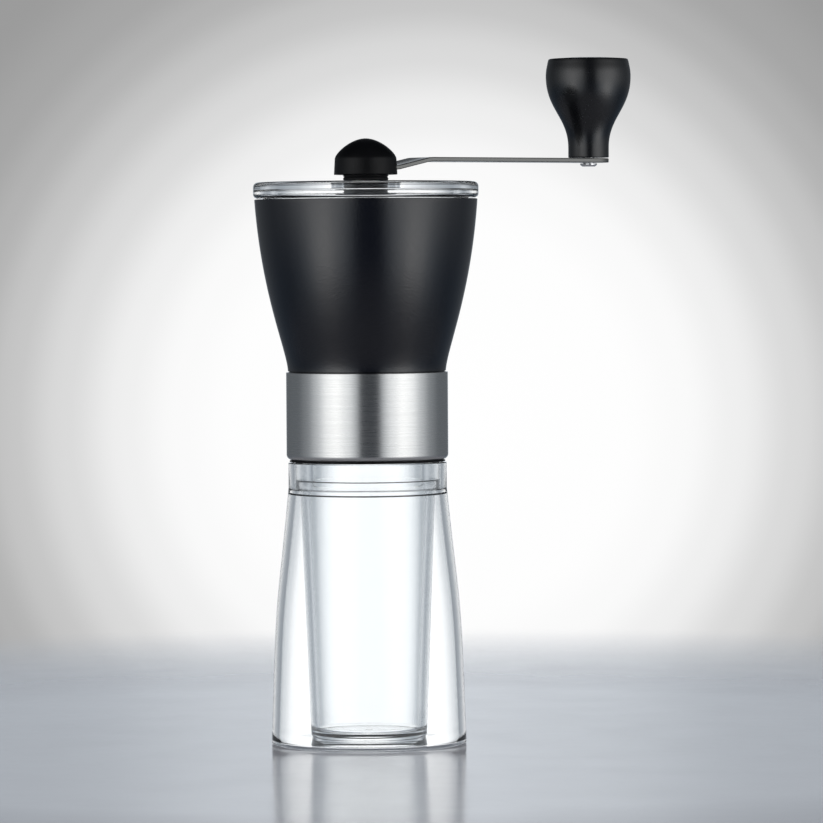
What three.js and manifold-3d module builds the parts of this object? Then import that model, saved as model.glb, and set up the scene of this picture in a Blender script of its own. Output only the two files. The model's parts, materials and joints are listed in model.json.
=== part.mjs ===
// Hand crank coffee grinder: a clear double-walled jar, a screw-on mill with a steel band and a flared
// bean hopper, a conical ceramic burr set on a central shaft, a clear lid and a lift-off crank.
// Millimetres, +Z up. The origin is the centre of the jar's underside, and the crank points along +X.
import * as THREE from "three";
import { mergeVertices } from "three/addons/utils/BufferGeometryUtils.js";
import Module from "manifold-3d";

const wasm = await Module();
wasm.setup();

// ---- Clearances ----
const SEAT_GAP = 0.3; // between faces that rest on each other
const FIT_GAP = 0.35; // round a piece that sits in its bore and doesn't turn
const RUN_GAP = 0.1; // round a shaft or pin that turns
const THREAD_GAP = 0.5; // between a thread's crest and the wall it faces
const LOOSE_GAP = 0.4; // round a piece that lifts in and out by hand
const OVERCUT = 1; // how far a cutting tool runs past what it cuts

// ---- Facets ----
const ROUND = 32; // sides of a large round piece
const SMALL_ROUND = 20; // sides of a small round piece
const TINY_ROUND = 12; // sides of a screw or its hole

// ---- Burr set ----
const BURR_RADIUS = 13.5; // inner burr at its wide lower end
const BURR_TOP_RADIUS = 8.5;
const BURR_HEIGHT = 18.5;
const BURR_RIM_HEIGHT = 2; // upright part of the inner burr below its cone
const BURR_CHAMFER = 0.8;
const BURR_RINGS = 3; // stretches that the cone is divided into, so that the flutes can lean
const BURR_DROP = 1.7; // how far the inner burr hangs below the outer one
const BURR_CREST_GAP = 0.45; // between the two sets of teeth when fully tightened
const FLUTE_DEPTH = 1.1;
const FLUTE_SHALLOW_SHARE = 0.35; // depth of a flute at the fine end, as a share of its full depth
const INNER_FLUTES = 12;
const OUTER_FLUTES = 16;
const FLUTE_STEPS = 5; // sides that one flute takes round a burr
const FLUTE_LEAN = 0.045; // turn of a flute per millimetre of height, in radians
const OUTER_BURR_HEIGHT = 14;
const OUTER_BURR_WALL = 3.4;
const OUTER_BURR_MOUTH = 3.5; // how much wider the outer burr is at its top
const OUTER_BURR_LAND = 0.1; // share of its height that is upright at the fine end
const OUTER_BURR_BELLY = 0.55; // share of its height where a middle ring lets the flutes lean

// ---- Carrier that clamps the outer burr under the hopper ----
const CARRIER_WALL = 1.2;
const CARRIER_LIP = 2.3; // how far its lower lip reaches in under the burr
const CARRIER_FLANGE = 2.5;
const SCREW_COUNT = 3;
const SCREW_RADIUS = 1.25;
const SCREW_HEAD_RADIUS = 2.3;
const SCREW_HEAD_HEIGHT = 1.4;
const SCREW_HEAD_CROWN = 0.8; // radius of the head's flat crown, as a share of the head's
const SCREW_HEAD_EDGE = 0.4; // share of the head's height taken by its sloping edge
const SCREW_GRIP = 2.6; // length of thread in the hopper's shelf
const SCREW_SLOT_LENGTH = 3;
const SCREW_SLOT_WIDTH = 0.7;
const SCREW_SLOT_DEPTH = 0.7;

// ---- Jar ----
const JAR_BASE_RADIUS = 34.1;
const JAR_HEIGHT = 98.7; // up to the flat top of the jar's neck
const JAR_NECK_HEIGHT = 9.5;
const JAR_NECK_STEP = 0.6; // how far the neck stands in from the steel band
const JAR_WALL = 2.5;
const JAR_CORNER = 1.3;
const JAR_NECK_WALL = 2.05;
const JAR_LEDGE_WIDTH = 1.7;
const JAR_LEDGE_HEIGHT = 1.4;
const JAR_LEDGE_SLOPE = 1.5; // height of the slope under the ledge
const JAR_SHOULDER = 0.8; // how far above the ledge the side becomes the upright neck
const JAR_SIDE = [0.27, 0.64, 0.69, 0.51]; // handles of the side's curve, as sideCurve takes them
const JAR_BASE_THICKNESS = 1.2;
const JAR_BASE_RIM = 2.3; // width of the shell's foot around the base disc

// ---- Cup inside the jar ----
const CUP_BASE_RADIUS = 20.3;
const CUP_WALL = 2.7;
const CUP_FLOOR = 2.4;
const CUP_CORNER = 1; // between the cup's wall and its floor
const CUP_LIFT = 1.4; // air gap between the base disc and the cup
const CUP_NECK_WALL = 3.65;
const CUP_NECK_LENGTH = 13.3; // threaded part that stands above the jar
const CUP_NECK_FOOT = 3.2; // where the neck's bore ends, above the ledge
const CUP_SHOULDER_DROP = 0.6; // where the tapered bore ends, below the ledge
const CUP_SHOULDER_WALL = 3.1;

// ---- Thread between jar and mill ----
const THREAD_PITCH = 4;
const THREAD_DEPTH = 1.3;
const THREAD_ROOT_WIDTH = 2.3;
const THREAD_CREST_WIDTH = 1.1;
const JAR_THREAD_TURNS = 2;
const MILL_THREAD_TURNS = 1.25;
const THREAD_BITE = 0.3; // how far a thread's root is sunk into its wall
const THREAD_STEPS = 24; // facets in one turn
const THREAD_START = 2.2; // height of the jar's thread above the jar

// ---- Screwed collar, seal and steel band ----
const SEAL_THICKNESS = 1.5;
const SEAL_INSET = 0.6;
const COLLAR_WALL = 2.5;
const COLLAR_LEDGE = 1.5;
const LIP_THICKNESS = 0.4;
const BAND_WALL = 0.7;
const BAND_HEIGHT = 30.6;
const BAND_CORNER = 1.9;
const BAND_ROLL = (80 * Math.PI) / 180; // how far round the lower edge is rolled in

// ---- Hopper ----
const HOPPER_WALL = 2.4;
const HOPPER_RIM_RADIUS = 39;
const HOPPER_HEIGHT = 60.1; // from the top of the band to the rim
const HOPPER_WAIST_STEP = 0.4; // how far the waist stands out over its skirt
const HOPPER_SIDE = [0.04, 0.13, 0.21, 0.565]; // handles of the side's curve, as sideCurve takes them
const SKIRT_WALL = 2;
const SHELF_DEPTH = 8.4; // how far the shelf lies above the skirt's lower edge
const SHELF_THICKNESS = 3.7;
const FUNNEL_RISE = 4.5;
const THROAT_RADIUS = 13;
const THROAT_CHAMFER = 1.2;
const THROAT_CHAMFER_WIDTH = 2;
const SPIDER_ARMS = 3;
const SPIDER_ARM_WIDTH = 4;
const SPIDER_ARM_HEIGHT = 6;
const SPIDER_HEIGHT = 21.4; // underside of the spider above the top of the band
const SPIDER_HUB_HEIGHT = 10;
const SPIDER_HUB_WALL = 2.2;

// ---- Shaft and the small pieces on it ----
const SHAFT_RADIUS = 3.5;
const HEX_GAP = 0.15; // round the hexagon, on each flat
const HEX_LENGTH = 11;
const STUD_STEP = 0.13; // how far the threaded lower end stands in from the hexagon's flats
const SHAFT_TAIL = 1; // stud that shows below the dial
const SHAFT_CHAMFER = 0.5;
const BUSHING_WALL = 1.9;
const BUSHING_FLANGE = 1.2;
const BUSHING_FLANGE_WIDTH = 1.5;
const CLIP_THICKNESS = 1;
const CLIP_REACH = 1.7; // how far the clip stands out from the shaft
const CLIP_MOUTH = 1; // how far the clip's mouth starts from the axis
const GROOVE_DEPTH = 0.8;
const GROOVE_PLAY = 0.2; // above and below the clip
const WASHER_THICKNESS = 1;
const SPRING_ROOM = 1.4; // between the shaft and the spring
const SPRING_WIRE = 0.7; // radius of the wire
const SPRING_WASHER_WIDTH = 0.7; // how far the washer reaches beyond the spring
const SPRING_TURNS = 6;
const SPRING_STEPS = 10; // facets in one turn of the wire
const SPRING_WIRE_SIDES = 3; // facets in a half turn round the wire
const DETENT_WIDTH = 2.9; // from the shaft to the washer's rim
const DETENT_NOTCH_WIDTH = 0.8;
const DETENT_NOTCH_DEPTH = 0.5;
const DIAL_RADIUS = 9;
const DIAL_HEIGHT = 5;
const DIAL_LOBES = 12;
const DIAL_LOBE_DEPTH = 0.6;
const DIAL_LOBE_STEPS = 6; // facets in one lobe

// ---- Lid ----
const LID_OVERHANG = 0.4; // how far the lid stands out over the hopper's rim
const LID_THICKNESS = 5.7;
const LID_EDGE = 1.6;
const LID_RING_WIDTH = 8.1; // thick outer ring
const LID_RING_FLOOR = 0.6; // step up from the lid's underside inside its skirt
const LID_PLATE = 2.6; // thinner middle plate
const LID_SKIRT_HEIGHT = 4.5;
const LID_SKIRT_WALL = 1.8;

// ---- Crank hub ----
const COLLAR_RADIUS = 7.9;
const COLLAR_LENGTH = 6.9;
const COLLAR_RINGS = 4;
const COLLAR_RING_DEPTH = 0.35;
const CRANK_STANDOFF = 2.5; // from the lid to the hub
const HUB_FLANGE = 1.4;
const HUB_FLANGE_WIDTH = 1;
const HUB_BOSS_WALL = 1.5;
const HUB_BOSS_RISE = 2; // how far the boss stands up through the arm
const HUB_BORE_CAP = 3.2; // solid top of the boss over the hexagonal bore
const DOME_DRAFT = 0.3;
const DOME_SIDE_HEIGHT = 5.6;
const DOME_HEIGHT = 12.7;
const DOME_SKIN = 1.85; // wall round the hub's flange
const DOME_SHOULDER_RISE = 2.2; // how far the side's direction carries into the crown
const DOME_CROWN_SHARE = 0.47; // how far out the crown's flat direction carries
const HUB_SCREW_GRIP = 3.4;

// ---- Crank arm ----
const CRANK_RADIUS = 96.3; // from the shaft's axis to the knob's axis
const ARM_WIDTH = 14.5;
const ARM_THICKNESS = 1.5;
const ARM_FLAT = 9.2; // length of the flat hub end from the axis
const ARM_RISE = 3;
const ARM_SLOPE_LENGTH = 13.8;

// ---- Knob ----
const KNOB_STEM_RADIUS = 7.3;
const KNOB_RADIUS = 15.28;
const KNOB_STEM_HEIGHT = 3.6;
const KNOB_STEM_PULL = 11; // how far the stem's upright direction carries into the flare
const KNOB_WIDE_PULL = 11.8; // the same, down from the widest place
const KNOB_WIDE_HEIGHT = 29.2; // where the knob is widest
const KNOB_SIDE_HEIGHT = 34.6;
const KNOB_EDGE = 0.8;
const KNOB_HEIGHT = 36;
const KNOB_TAPER = 0.75; // how far the side draws in above the widest place
const KNOB_TAPER_START = 0.3; // share of the taper reached half-way up to the edge
const KNOB_CROWN = 0.3; // rise of the knob's top from its edge to the cap
const CAP_RADIUS = 8;
const CAP_THICKNESS = 3;
const CAP_CROWN_RADIUS = 0.5; // share of the cap's radius where its crown levels out
const CAP_CROWN_RISE = 0.8; // share of the crown's rise reached there
const PIN_RADIUS = 3;
const PIN_NECK_RADIUS = 2;
const PIN_HEAD_WIDTH = 1.6;
const PIN_HEAD_HEIGHT = 1.5;
const PIN_LENGTH = 22.5;
const RIVET_RADIUS = 3;
const RIVET_HEIGHT = 1.1;
const RIVET_CROWN = 0.75; // radius of the rivet's flat crown, as a share of the rivet's
const KNOB_WASHER_WIDTH = 2.2;
const KNOB_WASHER_THICKNESS = 0.7;

// ---- Radii that follow, from the burrs outwards ----
const outerBurrRadius = BURR_RADIUS + BURR_CREST_GAP + OUTER_BURR_WALL;
const carrierBore = outerBurrRadius + FIT_GAP;
const carrierRadius = carrierBore + CARRIER_WALL;
const cupNeckBore = carrierRadius + LOOSE_GAP;
const cupNeckRadius = cupNeckBore + CUP_NECK_WALL;
const jarCrestRadius = cupNeckRadius + THREAD_DEPTH;
const collarBore = jarCrestRadius + THREAD_GAP;
const millCrestRadius = cupNeckRadius + THREAD_GAP;
const collarRadius = collarBore + COLLAR_WALL;
const bandBore = collarRadius + FIT_GAP;
const bandRadius = bandBore + BAND_WALL;
const waistRadius = collarRadius + HOPPER_WAIST_STEP;
const skirtBore = collarRadius - SKIRT_WALL;
const jarNeckRadius = bandRadius - JAR_NECK_STEP;
const jarNeckBore = jarNeckRadius - JAR_NECK_WALL;
const jarLedgeBore = jarNeckBore - JAR_LEDGE_WIDTH;
const cupRadius = jarLedgeBore - LOOSE_GAP;
const lidRadius = HOPPER_RIM_RADIUS + LID_OVERHANG;

// ---- Sizes that follow from the shaft, the crank's collar and the knob's pin ----
const hexSize = 2 * SHAFT_RADIUS * Math.cos(Math.PI / 6);
const hexBoreSize = hexSize + 2 * HEX_GAP;
const studRadius = hexSize / 2 - STUD_STEP;
const grooveRadius = SHAFT_RADIUS - GROOVE_DEPTH;
const clipRadius = SHAFT_RADIUS + CLIP_REACH;
const springRadius = SHAFT_RADIUS + SPRING_ROOM + SPRING_WIRE;
const springWasherRadius = springRadius + SPRING_WIRE + SPRING_WASHER_WIDTH;
const detentRadius = SHAFT_RADIUS + DETENT_WIDTH;
const hubFlangeRadius = COLLAR_RADIUS + HUB_FLANGE_WIDTH;
const hubBossSize = hexBoreSize + 2 * HUB_BOSS_WALL;
const domeRadius = hubFlangeRadius + FIT_GAP + DOME_SKIN;
const pinHeadRadius = PIN_RADIUS + PIN_HEAD_WIDTH;

// ---- Heights that follow, from the ground up ----
const cupUnderside = JAR_BASE_THICKNESS + CUP_LIFT;
const cupFloorTop = cupUnderside + CUP_FLOOR;
const ledgeTop = JAR_HEIGHT - JAR_NECK_HEIGHT;
const cupNeckTop = JAR_HEIGHT + CUP_NECK_LENGTH;
const collarBottom = JAR_HEIGHT + SEAT_GAP;
const bandBottom = collarBottom + LIP_THICKNESS + SEAT_GAP;
const bandTop = bandBottom + BAND_HEIGHT;
const sealBottom = cupNeckTop + SEAT_GAP;
const ledgeBottom = sealBottom + SEAL_THICKNESS + SEAT_GAP;
const collarTop = ledgeBottom + COLLAR_LEDGE;
const skirtBottom = collarTop + SEAT_GAP;
const waistBottom = bandTop + SEAT_GAP;
const rimTop = waistBottom + HOPPER_HEIGHT;
const shelfBottom = skirtBottom + SHELF_DEPTH;
const shelfTop = shelfBottom + SHELF_THICKNESS;
const outerBurrTop = shelfBottom - SEAT_GAP;
const outerBurrBottom = outerBurrTop - OUTER_BURR_HEIGHT;
const burrBottom = outerBurrBottom - BURR_DROP;
const burrTop = burrBottom + BURR_HEIGHT;
const detentTop = burrBottom - SEAT_GAP;
const detentBottom = detentTop - WASHER_THICKNESS;
const dialTop = detentBottom - SEAT_GAP;
const dialBottom = dialTop - DIAL_HEIGHT;
const shaftBottom = dialBottom - SHAFT_TAIL;
const spiderBottom = bandTop + SPIDER_HEIGHT;
const spiderTop = spiderBottom + SPIDER_HUB_HEIGHT;
const bushingTop = spiderTop + SEAT_GAP + BUSHING_FLANGE;
const clipBottom = bushingTop + SEAT_GAP;
const springWasherTop = spiderBottom - SEAT_GAP;
const springTop = springWasherTop - WASHER_THICKNESS - SEAT_GAP;
const springBottom = burrTop + SEAT_GAP;
const lidBottom = rimTop + SEAT_GAP;
const lidTop = lidBottom + LID_THICKNESS;
const hubBottom = lidTop + CRANK_STANDOFF;
const hubCollarBottom = hubBottom - COLLAR_LENGTH;
const hubFlangeTop = hubBottom + HUB_FLANGE;
const armBottom = hubFlangeTop + SEAT_GAP;
const hubBossTop = armBottom + ARM_THICKNESS + HUB_BOSS_RISE;
const hubBoreTop = hubBossTop - HUB_BORE_CAP;
const hubScrewBottom = hubBoreTop - SEAT_GAP - SCREW_HEAD_HEIGHT;
const shaftTop = hubScrewBottom - 2 * SEAT_GAP;
const armTop = armBottom + ARM_THICKNESS + ARM_RISE;
const knobBottom = armTop + SEAT_GAP;
const knobWasherTop = knobBottom + KNOB_WASHER_THICKNESS;
const pinShoulderTop = knobBottom + PIN_LENGTH;
const knobTop = knobBottom + KNOB_HEIGHT;
const capBottom = knobTop - CAP_THICKNESS;
const capEdge = knobBottom + KNOB_SIDE_HEIGHT + KNOB_EDGE + KNOB_CROWN;

// ---- Finishes ----
const finish = (color, roughness, metalness, opacity = 1) =>
  new THREE.MeshStandardMaterial({ color, roughness, metalness, opacity, transparent: opacity < 1 });
const clearPlastic = () => finish(0xe6edf2, 0.06, 0, 0.35);
const blackPlastic = () => finish(0x1a1b20, 0.5, 0);
const brushedSteel = () => finish(0xb9b9b6, 0.3, 1);
const turnedSteel = () => finish(0xc4c5c7, 0.25, 1);
const springSteel = () => finish(0x9a9c9f, 0.3, 1);
const ceramic = () => finish(0xf1eee6, 0.45, 0);
const silicone = () => finish(0xd9dad6, 0.7, 0);

// ---- Geometry helpers ----

// A three.js geometry as a solid that can be joined and cut, with its shared corners merged.
function solid(geometry) {
  const bare = geometry.clone();
  bare.deleteAttribute("normal");
  bare.deleteAttribute("uv");
  const merged = mergeVertices(bare, 1e-4);
  const corners = merged.index.array;
  const kept = [];
  for (let i = 0; i < corners.length; i += 3) {
    const [a, b, c] = corners.slice(i, i + 3);
    if (a !== b && b !== c && c !== a) kept.push(a, b, c);
  }
  return new wasm.Manifold(
    new wasm.Mesh({
      numProp: 3,
      vertProperties: new Float32Array(merged.attributes.position.array),
      triVerts: new Uint32Array(kept),
    }),
  );
}

// A solid's surface as a three.js geometry.
function surface(body) {
  const mesh = body.getMesh();
  const geometry = new THREE.BufferGeometry();
  geometry.setAttribute("position", new THREE.BufferAttribute(new Float32Array(mesh.vertProperties), 3));
  geometry.setIndex(new THREE.BufferAttribute(new Uint32Array(mesh.triVerts), 1));
  geometry.computeVertexNormals();
  return geometry;
}

// An outline of [radius, height] points turned about Z. It runs up the outside and down the inside.
function turned(outline, sides = ROUND) {
  const points = outline.map(([radius, height]) => new THREE.Vector2(radius, height));
  return new THREE.LatheGeometry(points, sides).rotateX(Math.PI / 2);
}

// A closed ring outline: the first point is repeated at the end.
const ring = (outline, sides = ROUND) => turned([...outline, outline[0]], sides);

// A plain tube or disc between two radii and two heights.
function tube(bore, radius, bottom, top, sides = ROUND) {
  return ring(
    [
      [radius, bottom],
      [radius, top],
      [bore, top],
      [bore, bottom],
    ],
    sides,
  );
}

// A solid cylinder standing on Z.
function rod(radius, bottom, top, sides = SMALL_ROUND) {
  return turned(
    [
      [0, bottom],
      [radius, bottom],
      [radius, top],
      [0, top],
    ],
    sides,
  );
}

// The corner radius of a faceted bore whose flats clear a round piece by the given gap.
const bore = (radius, gap, sides = SMALL_ROUND) => (radius + gap) / Math.cos(Math.PI / sides);

// A shape in plan, extruded upwards.
function upright(shape, bottom, top) {
  const geometry = new THREE.ExtrudeGeometry(shape, { depth: top - bottom, bevelEnabled: false });
  return geometry.translate(0, 0, bottom);
}

// A hexagonal bar with the given size across flats.
function hexBar(acrossFlats, bottom, top) {
  const shape = new THREE.Shape();
  const reach = acrossFlats / 2 / Math.cos(Math.PI / 6);
  for (let i = 0; i < 6; i++) {
    const corner = [reach * Math.cos(around(i, 6)), reach * Math.sin(around(i, 6))];
    if (i === 0) shape.moveTo(...corner);
    else shape.lineTo(...corner);
  }
  shape.closePath();
  return upright(shape, bottom, top);
}

// Points of a cubic curve between two [radius, height] ends, drawn by two handles.
function curve(start, startHandle, endHandle, end, steps) {
  const line = new THREE.CubicBezierCurve(
    new THREE.Vector2(...start),
    new THREE.Vector2(...startHandle),
    new THREE.Vector2(...endHandle),
    new THREE.Vector2(...end),
  );
  return line.getPoints(steps).map((point) => [point.x, point.y]);
}

// A side between two [radius, height] ends. Each end's handle lies off it by two shares of the width and of
// the height between the ends: across and up for the lower end, then across and down for the upper end.
function sideCurve(low, high, [lowAcross, lowUp, highAcross, highDown], steps) {
  const width = high[0] - low[0];
  const rise = high[1] - low[1];
  const lowHandle = [low[0] + width * lowAcross, low[1] + rise * lowUp];
  const highHandle = [high[0] - width * highAcross, high[1] - rise * highDown];
  return curve(low, lowHandle, highHandle, high, steps);
}

// A round corner of [radius, height] points about a centre, between two angles.
function corner(centre, radius, from, to, steps = 4) {
  const points = [];
  for (let i = 0; i <= steps; i++) {
    const angle = from + ((to - from) * i) / steps;
    points.push([centre[0] + radius * Math.cos(angle), centre[1] + radius * Math.sin(angle)]);
  }
  return points;
}

// Angle of one of a number of places spread evenly round Z.
const around = (i, count) => (i * 2 * Math.PI) / count;

// A right-hand helical ridge of four-sided section, from its root on a wall to its crest.
// It fades at both ends.
function threadRidge(rootRadius, crestRadius, startHeight, turns) {
  const steps = Math.round(turns * THREAD_STEPS);
  const fade = THREAD_STEPS / 6;
  const outward = Math.sign(crestRadius - rootRadius);
  const foot = rootRadius - outward * THREAD_BITE;
  const vertices = [];
  for (let i = 0; i <= steps; i++) {
    const angle = around(i, THREAD_STEPS);
    const height = startHeight + (THREAD_PITCH * i) / THREAD_STEPS;
    const grown = Math.min(1, (Math.min(i, steps - i) + 0.5) / fade);
    const crest = rootRadius + (crestRadius - rootRadius) * grown;
    const section = [
      [foot, -THREAD_ROOT_WIDTH / 2],
      [crest, -THREAD_CREST_WIDTH / 2],
      [crest, THREAD_CREST_WIDTH / 2],
      [foot, THREAD_ROOT_WIDTH / 2],
    ];
    for (const [radius, offset] of section) {
      vertices.push(radius * Math.cos(angle), radius * Math.sin(angle), height + offset);
    }
  }
  const faces = [];
  const quad = (a, b, c, d) => faces.push(a, b, c, a, c, d);
  for (let i = 0; i < steps; i++) {
    for (let k = 0; k < 4; k++) {
      const here = 4 * i + k;
      const above = 4 * i + ((k + 1) % 4);
      quad(here, here + 4, above + 4, above);
    }
  }
  quad(0, 1, 2, 3);
  const last = 4 * steps;
  quad(last, last + 3, last + 2, last + 1);
  if (outward < 0) faces.reverse();
  const geometry = new THREE.BufferGeometry();
  geometry.setAttribute("position", new THREE.Float32BufferAttribute(vertices, 3));
  geometry.setIndex(faces);
  return geometry;
}

// A turned geometry with leaning flutes sunk into, or out of, the radii that the depth function gives.
function fluted(geometry, count, depthAt) {
  const place = geometry.attributes.position;
  for (let i = 0; i < place.count; i++) {
    const radius = Math.hypot(place.getX(i), place.getY(i));
    const depth = depthAt(radius, place.getZ(i));
    if (depth === 0) continue;
    const turn = (Math.atan2(place.getY(i), place.getX(i)) * count) / (2 * Math.PI);
    const phase = turn - Math.floor(turn + 1e-6);
    const scale = (radius + depth * phase) / radius;
    place.setXY(i, place.getX(i) * scale, place.getY(i) * scale);
  }
  return geometry;
}

// Turns each level of a geometry about Z in proportion to its height above a level.
function twisted(geometry, from, perMillimetre) {
  const place = geometry.attributes.position;
  const point = new THREE.Vector3();
  for (let i = 0; i < place.count; i++) {
    point.fromBufferAttribute(place, i);
    point.applyAxisAngle(new THREE.Vector3(0, 0, 1), (point.z - from) * perMillimetre);
    place.setXYZ(i, point.x, point.y, point.z);
  }
  return geometry;
}

// A pan-head screw with a crossed slot, head downwards, gripping upwards from the given height.
function screw(headTop, gripLength) {
  const headBottom = headTop - SCREW_HEAD_HEIGHT;
  const tip = headTop + gripLength;
  const turnedScrew = turned(
    [
      [0, headBottom],
      [SCREW_HEAD_RADIUS * SCREW_HEAD_CROWN, headBottom],
      [SCREW_HEAD_RADIUS, headBottom + SCREW_HEAD_HEIGHT * SCREW_HEAD_EDGE],
      [SCREW_HEAD_RADIUS, headTop],
      [SCREW_RADIUS, headTop],
      [SCREW_RADIUS, tip - SCREW_RADIUS / 2],
      [SCREW_RADIUS / 2, tip],
      [0, tip],
    ],
    TINY_ROUND,
  );
  let body = solid(turnedScrew);
  for (const angle of [0, Math.PI / 2]) {
    const slot = new THREE.BoxGeometry(SCREW_SLOT_LENGTH, SCREW_SLOT_WIDTH, SCREW_SLOT_DEPTH * 2);
    body = body.subtract(solid(slot.rotateZ(angle).translate(0, 0, headBottom)));
  }
  return surface(body);
}

const grinder = new THREE.Group();

function place(name, geometry, material) {
  const mesh = new THREE.Mesh(geometry, material);
  mesh.name = name;
  grinder.add(mesh);
  return mesh;
}

// ---- Jar ----

// The jar's outer side, from its foot up to its neck, as radius and height.
function jarSide(inset, bottom, top, steps) {
  return sideCurve([JAR_BASE_RADIUS - inset, bottom], [jarNeckRadius - inset, top], JAR_SIDE, steps);
}

// Outer wall of the jar: open below for the base disc, with an inner ledge that holds the cup's collar.
function jarShell() {
  const ledgeUnderside = ledgeTop - JAR_LEDGE_HEIGHT;
  const insideBottom = JAR_BASE_THICKNESS + SEAT_GAP;
  const outside = jarSide(0, JAR_CORNER, ledgeTop + JAR_SHOULDER, 7);
  const inside = jarSide(JAR_WALL, insideBottom, ledgeUnderside - JAR_LEDGE_SLOPE, 5).reverse();
  const footBore = JAR_BASE_RADIUS - JAR_BASE_RIM;
  return ring([
    ...corner([JAR_BASE_RADIUS - JAR_CORNER, JAR_CORNER], JAR_CORNER, -Math.PI / 2, -Math.PI / 6, 3),
    ...outside,
    [jarNeckRadius, JAR_HEIGHT],
    [jarNeckBore, JAR_HEIGHT],
    [jarNeckBore, ledgeTop],
    [jarLedgeBore, ledgeTop],
    [jarLedgeBore, ledgeUnderside],
    ...inside,
    [footBore, insideBottom],
    [footBore, 0],
  ]);
}

// Clear disc that closes the shell flush with its foot.
const jarBase = () => rod(JAR_BASE_RADIUS - JAR_BASE_RIM - FIT_GAP, 0, JAR_BASE_THICKNESS, ROUND);

// Cup that holds the ground coffee: tapered wall, collar on the shell's ledge, threaded neck.
function jarCup() {
  const cupTop = ledgeTop - JAR_LEDGE_HEIGHT;
  const collarEdge = jarNeckBore - FIT_GAP;
  const cupBaseBore = CUP_BASE_RADIUS - CUP_WALL;
  const body = turned([
    [0, cupUnderside],
    [CUP_BASE_RADIUS, cupUnderside],
    [cupRadius, cupTop],
    [cupRadius, ledgeTop + SEAT_GAP],
    [collarEdge, ledgeTop + SEAT_GAP],
    [collarEdge, JAR_HEIGHT],
    [cupNeckRadius, JAR_HEIGHT],
    [cupNeckRadius, cupNeckTop],
    [cupNeckBore, cupNeckTop],
    [cupNeckBore, ledgeTop + CUP_NECK_FOOT],
    [cupRadius - CUP_SHOULDER_WALL, ledgeTop - CUP_SHOULDER_DROP],
    [cupBaseBore, cupFloorTop + CUP_CORNER],
    [cupBaseBore - CUP_CORNER, cupFloorTop],
    [0, cupFloorTop],
  ]);
  const thread = threadRidge(cupNeckRadius, jarCrestRadius, JAR_HEIGHT + THREAD_START, JAR_THREAD_TURNS);
  return surface(solid(body).add(solid(thread)));
}

// Flat ring on top of the cup's neck that keeps the coffee in.
function neckSeal() {
  return tube(cupNeckBore + SEAL_INSET, cupNeckRadius, sealBottom, sealBottom + SEAL_THICKNESS);
}

// ---- Mill body ----

// Black collar inside the steel band, with the thread that the jar screws into. Above its lip it is
// waisted to make room for the band's turned-in edge.
function threadCollar() {
  const waist = bandRadius - BAND_CORNER - FIT_GAP;
  const body = ring([
    [collarRadius, collarBottom],
    [collarRadius, collarBottom + LIP_THICKNESS],
    [waist, collarBottom + LIP_THICKNESS],
    [waist, bandBottom + BAND_CORNER - SEAT_GAP],
    [collarRadius, bandBottom + BAND_CORNER + SEAT_GAP],
    [collarRadius, collarTop],
    [cupNeckBore, collarTop],
    [cupNeckBore, ledgeBottom],
    [collarBore, ledgeBottom],
    [collarBore, collarBottom],
  ]);
  const threadHeight = JAR_HEIGHT + THREAD_START + THREAD_PITCH / 2;
  const thread = threadRidge(collarBore, millCrestRadius, threadHeight, MILL_THREAD_TURNS);
  return surface(solid(body).add(solid(thread)));
}

// Brushed sleeve over the collar and the hopper's skirt, its lower edge rolled in under the collar.
function steelBand() {
  const centre = [bandRadius - BAND_CORNER, bandBottom + BAND_CORNER];
  return ring([
    ...corner(centre, BAND_CORNER, -BAND_ROLL, 0),
    [bandRadius, bandTop],
    [bandBore, bandTop],
    ...corner(centre, BAND_CORNER - BAND_WALL, 0, -BAND_ROLL),
  ]);
}

// The hopper's outer side from its waist to its rim, drawn in by the given inset.
function hopperSide(inset, bottom, steps) {
  return sideCurve([waistRadius - inset, bottom], [HOPPER_RIM_RADIUS - inset, rimTop], HOPPER_SIDE, steps);
}

// Radial arms and hub that hold the shaft's bushing, trimmed to the hopper's wall.
function spider() {
  const hubRadius = bushingRadius() + FIT_GAP + SPIDER_HUB_WALL;
  let arms = solid(rod(hubRadius, spiderBottom, spiderTop));
  for (let i = 0; i < SPIDER_ARMS; i++) {
    const arm = new THREE.BoxGeometry(HOPPER_RIM_RADIUS, SPIDER_ARM_WIDTH, SPIDER_ARM_HEIGHT);
    arm.translate(HOPPER_RIM_RADIUS / 2, 0, spiderBottom + SPIDER_ARM_HEIGHT / 2);
    arms = arms.add(solid(arm.rotateZ(Math.PI + around(i, SPIDER_ARMS))));
  }
  const side = hopperSide(HOPPER_WALL / 2, waistBottom, 7);
  const inside = turned([[0, waistBottom], ...side, [0, rimTop]]);
  return arms.intersect(solid(inside));
}

// Bean hopper: flared bowl over a funnel floor and throat, with a skirt inside the steel band.
function hopper() {
  const shelfEdge = shelfTop + FUNNEL_RISE;
  const wall = ring([
    [collarRadius, skirtBottom],
    [collarRadius, waistBottom],
    ...hopperSide(0, waistBottom, 7),
    ...hopperSide(HOPPER_WALL, shelfEdge, 6).reverse(),
    [THROAT_RADIUS + THROAT_CHAMFER_WIDTH, shelfTop],
    [THROAT_RADIUS, shelfTop - THROAT_CHAMFER],
    [THROAT_RADIUS, shelfBottom],
    [skirtBore, shelfBottom],
    [skirtBore, skirtBottom],
  ]);
  let body = solid(wall).add(spider());
  const hubBore = bore(bushingRadius(), FIT_GAP);
  body = body.subtract(solid(rod(hubBore, spiderBottom - OVERCUT, spiderTop + OVERCUT)));
  const holeTop = shelfBottom + SCREW_GRIP + SEAT_GAP;
  for (const [x, y] of screwPlaces()) {
    const hole = rod(SCREW_RADIUS + FIT_GAP, shelfBottom - OVERCUT, holeTop, TINY_ROUND);
    body = body.subtract(solid(hole.translate(x, y, 0)));
  }
  return surface(body);
}

// ---- Burr set ----

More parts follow.
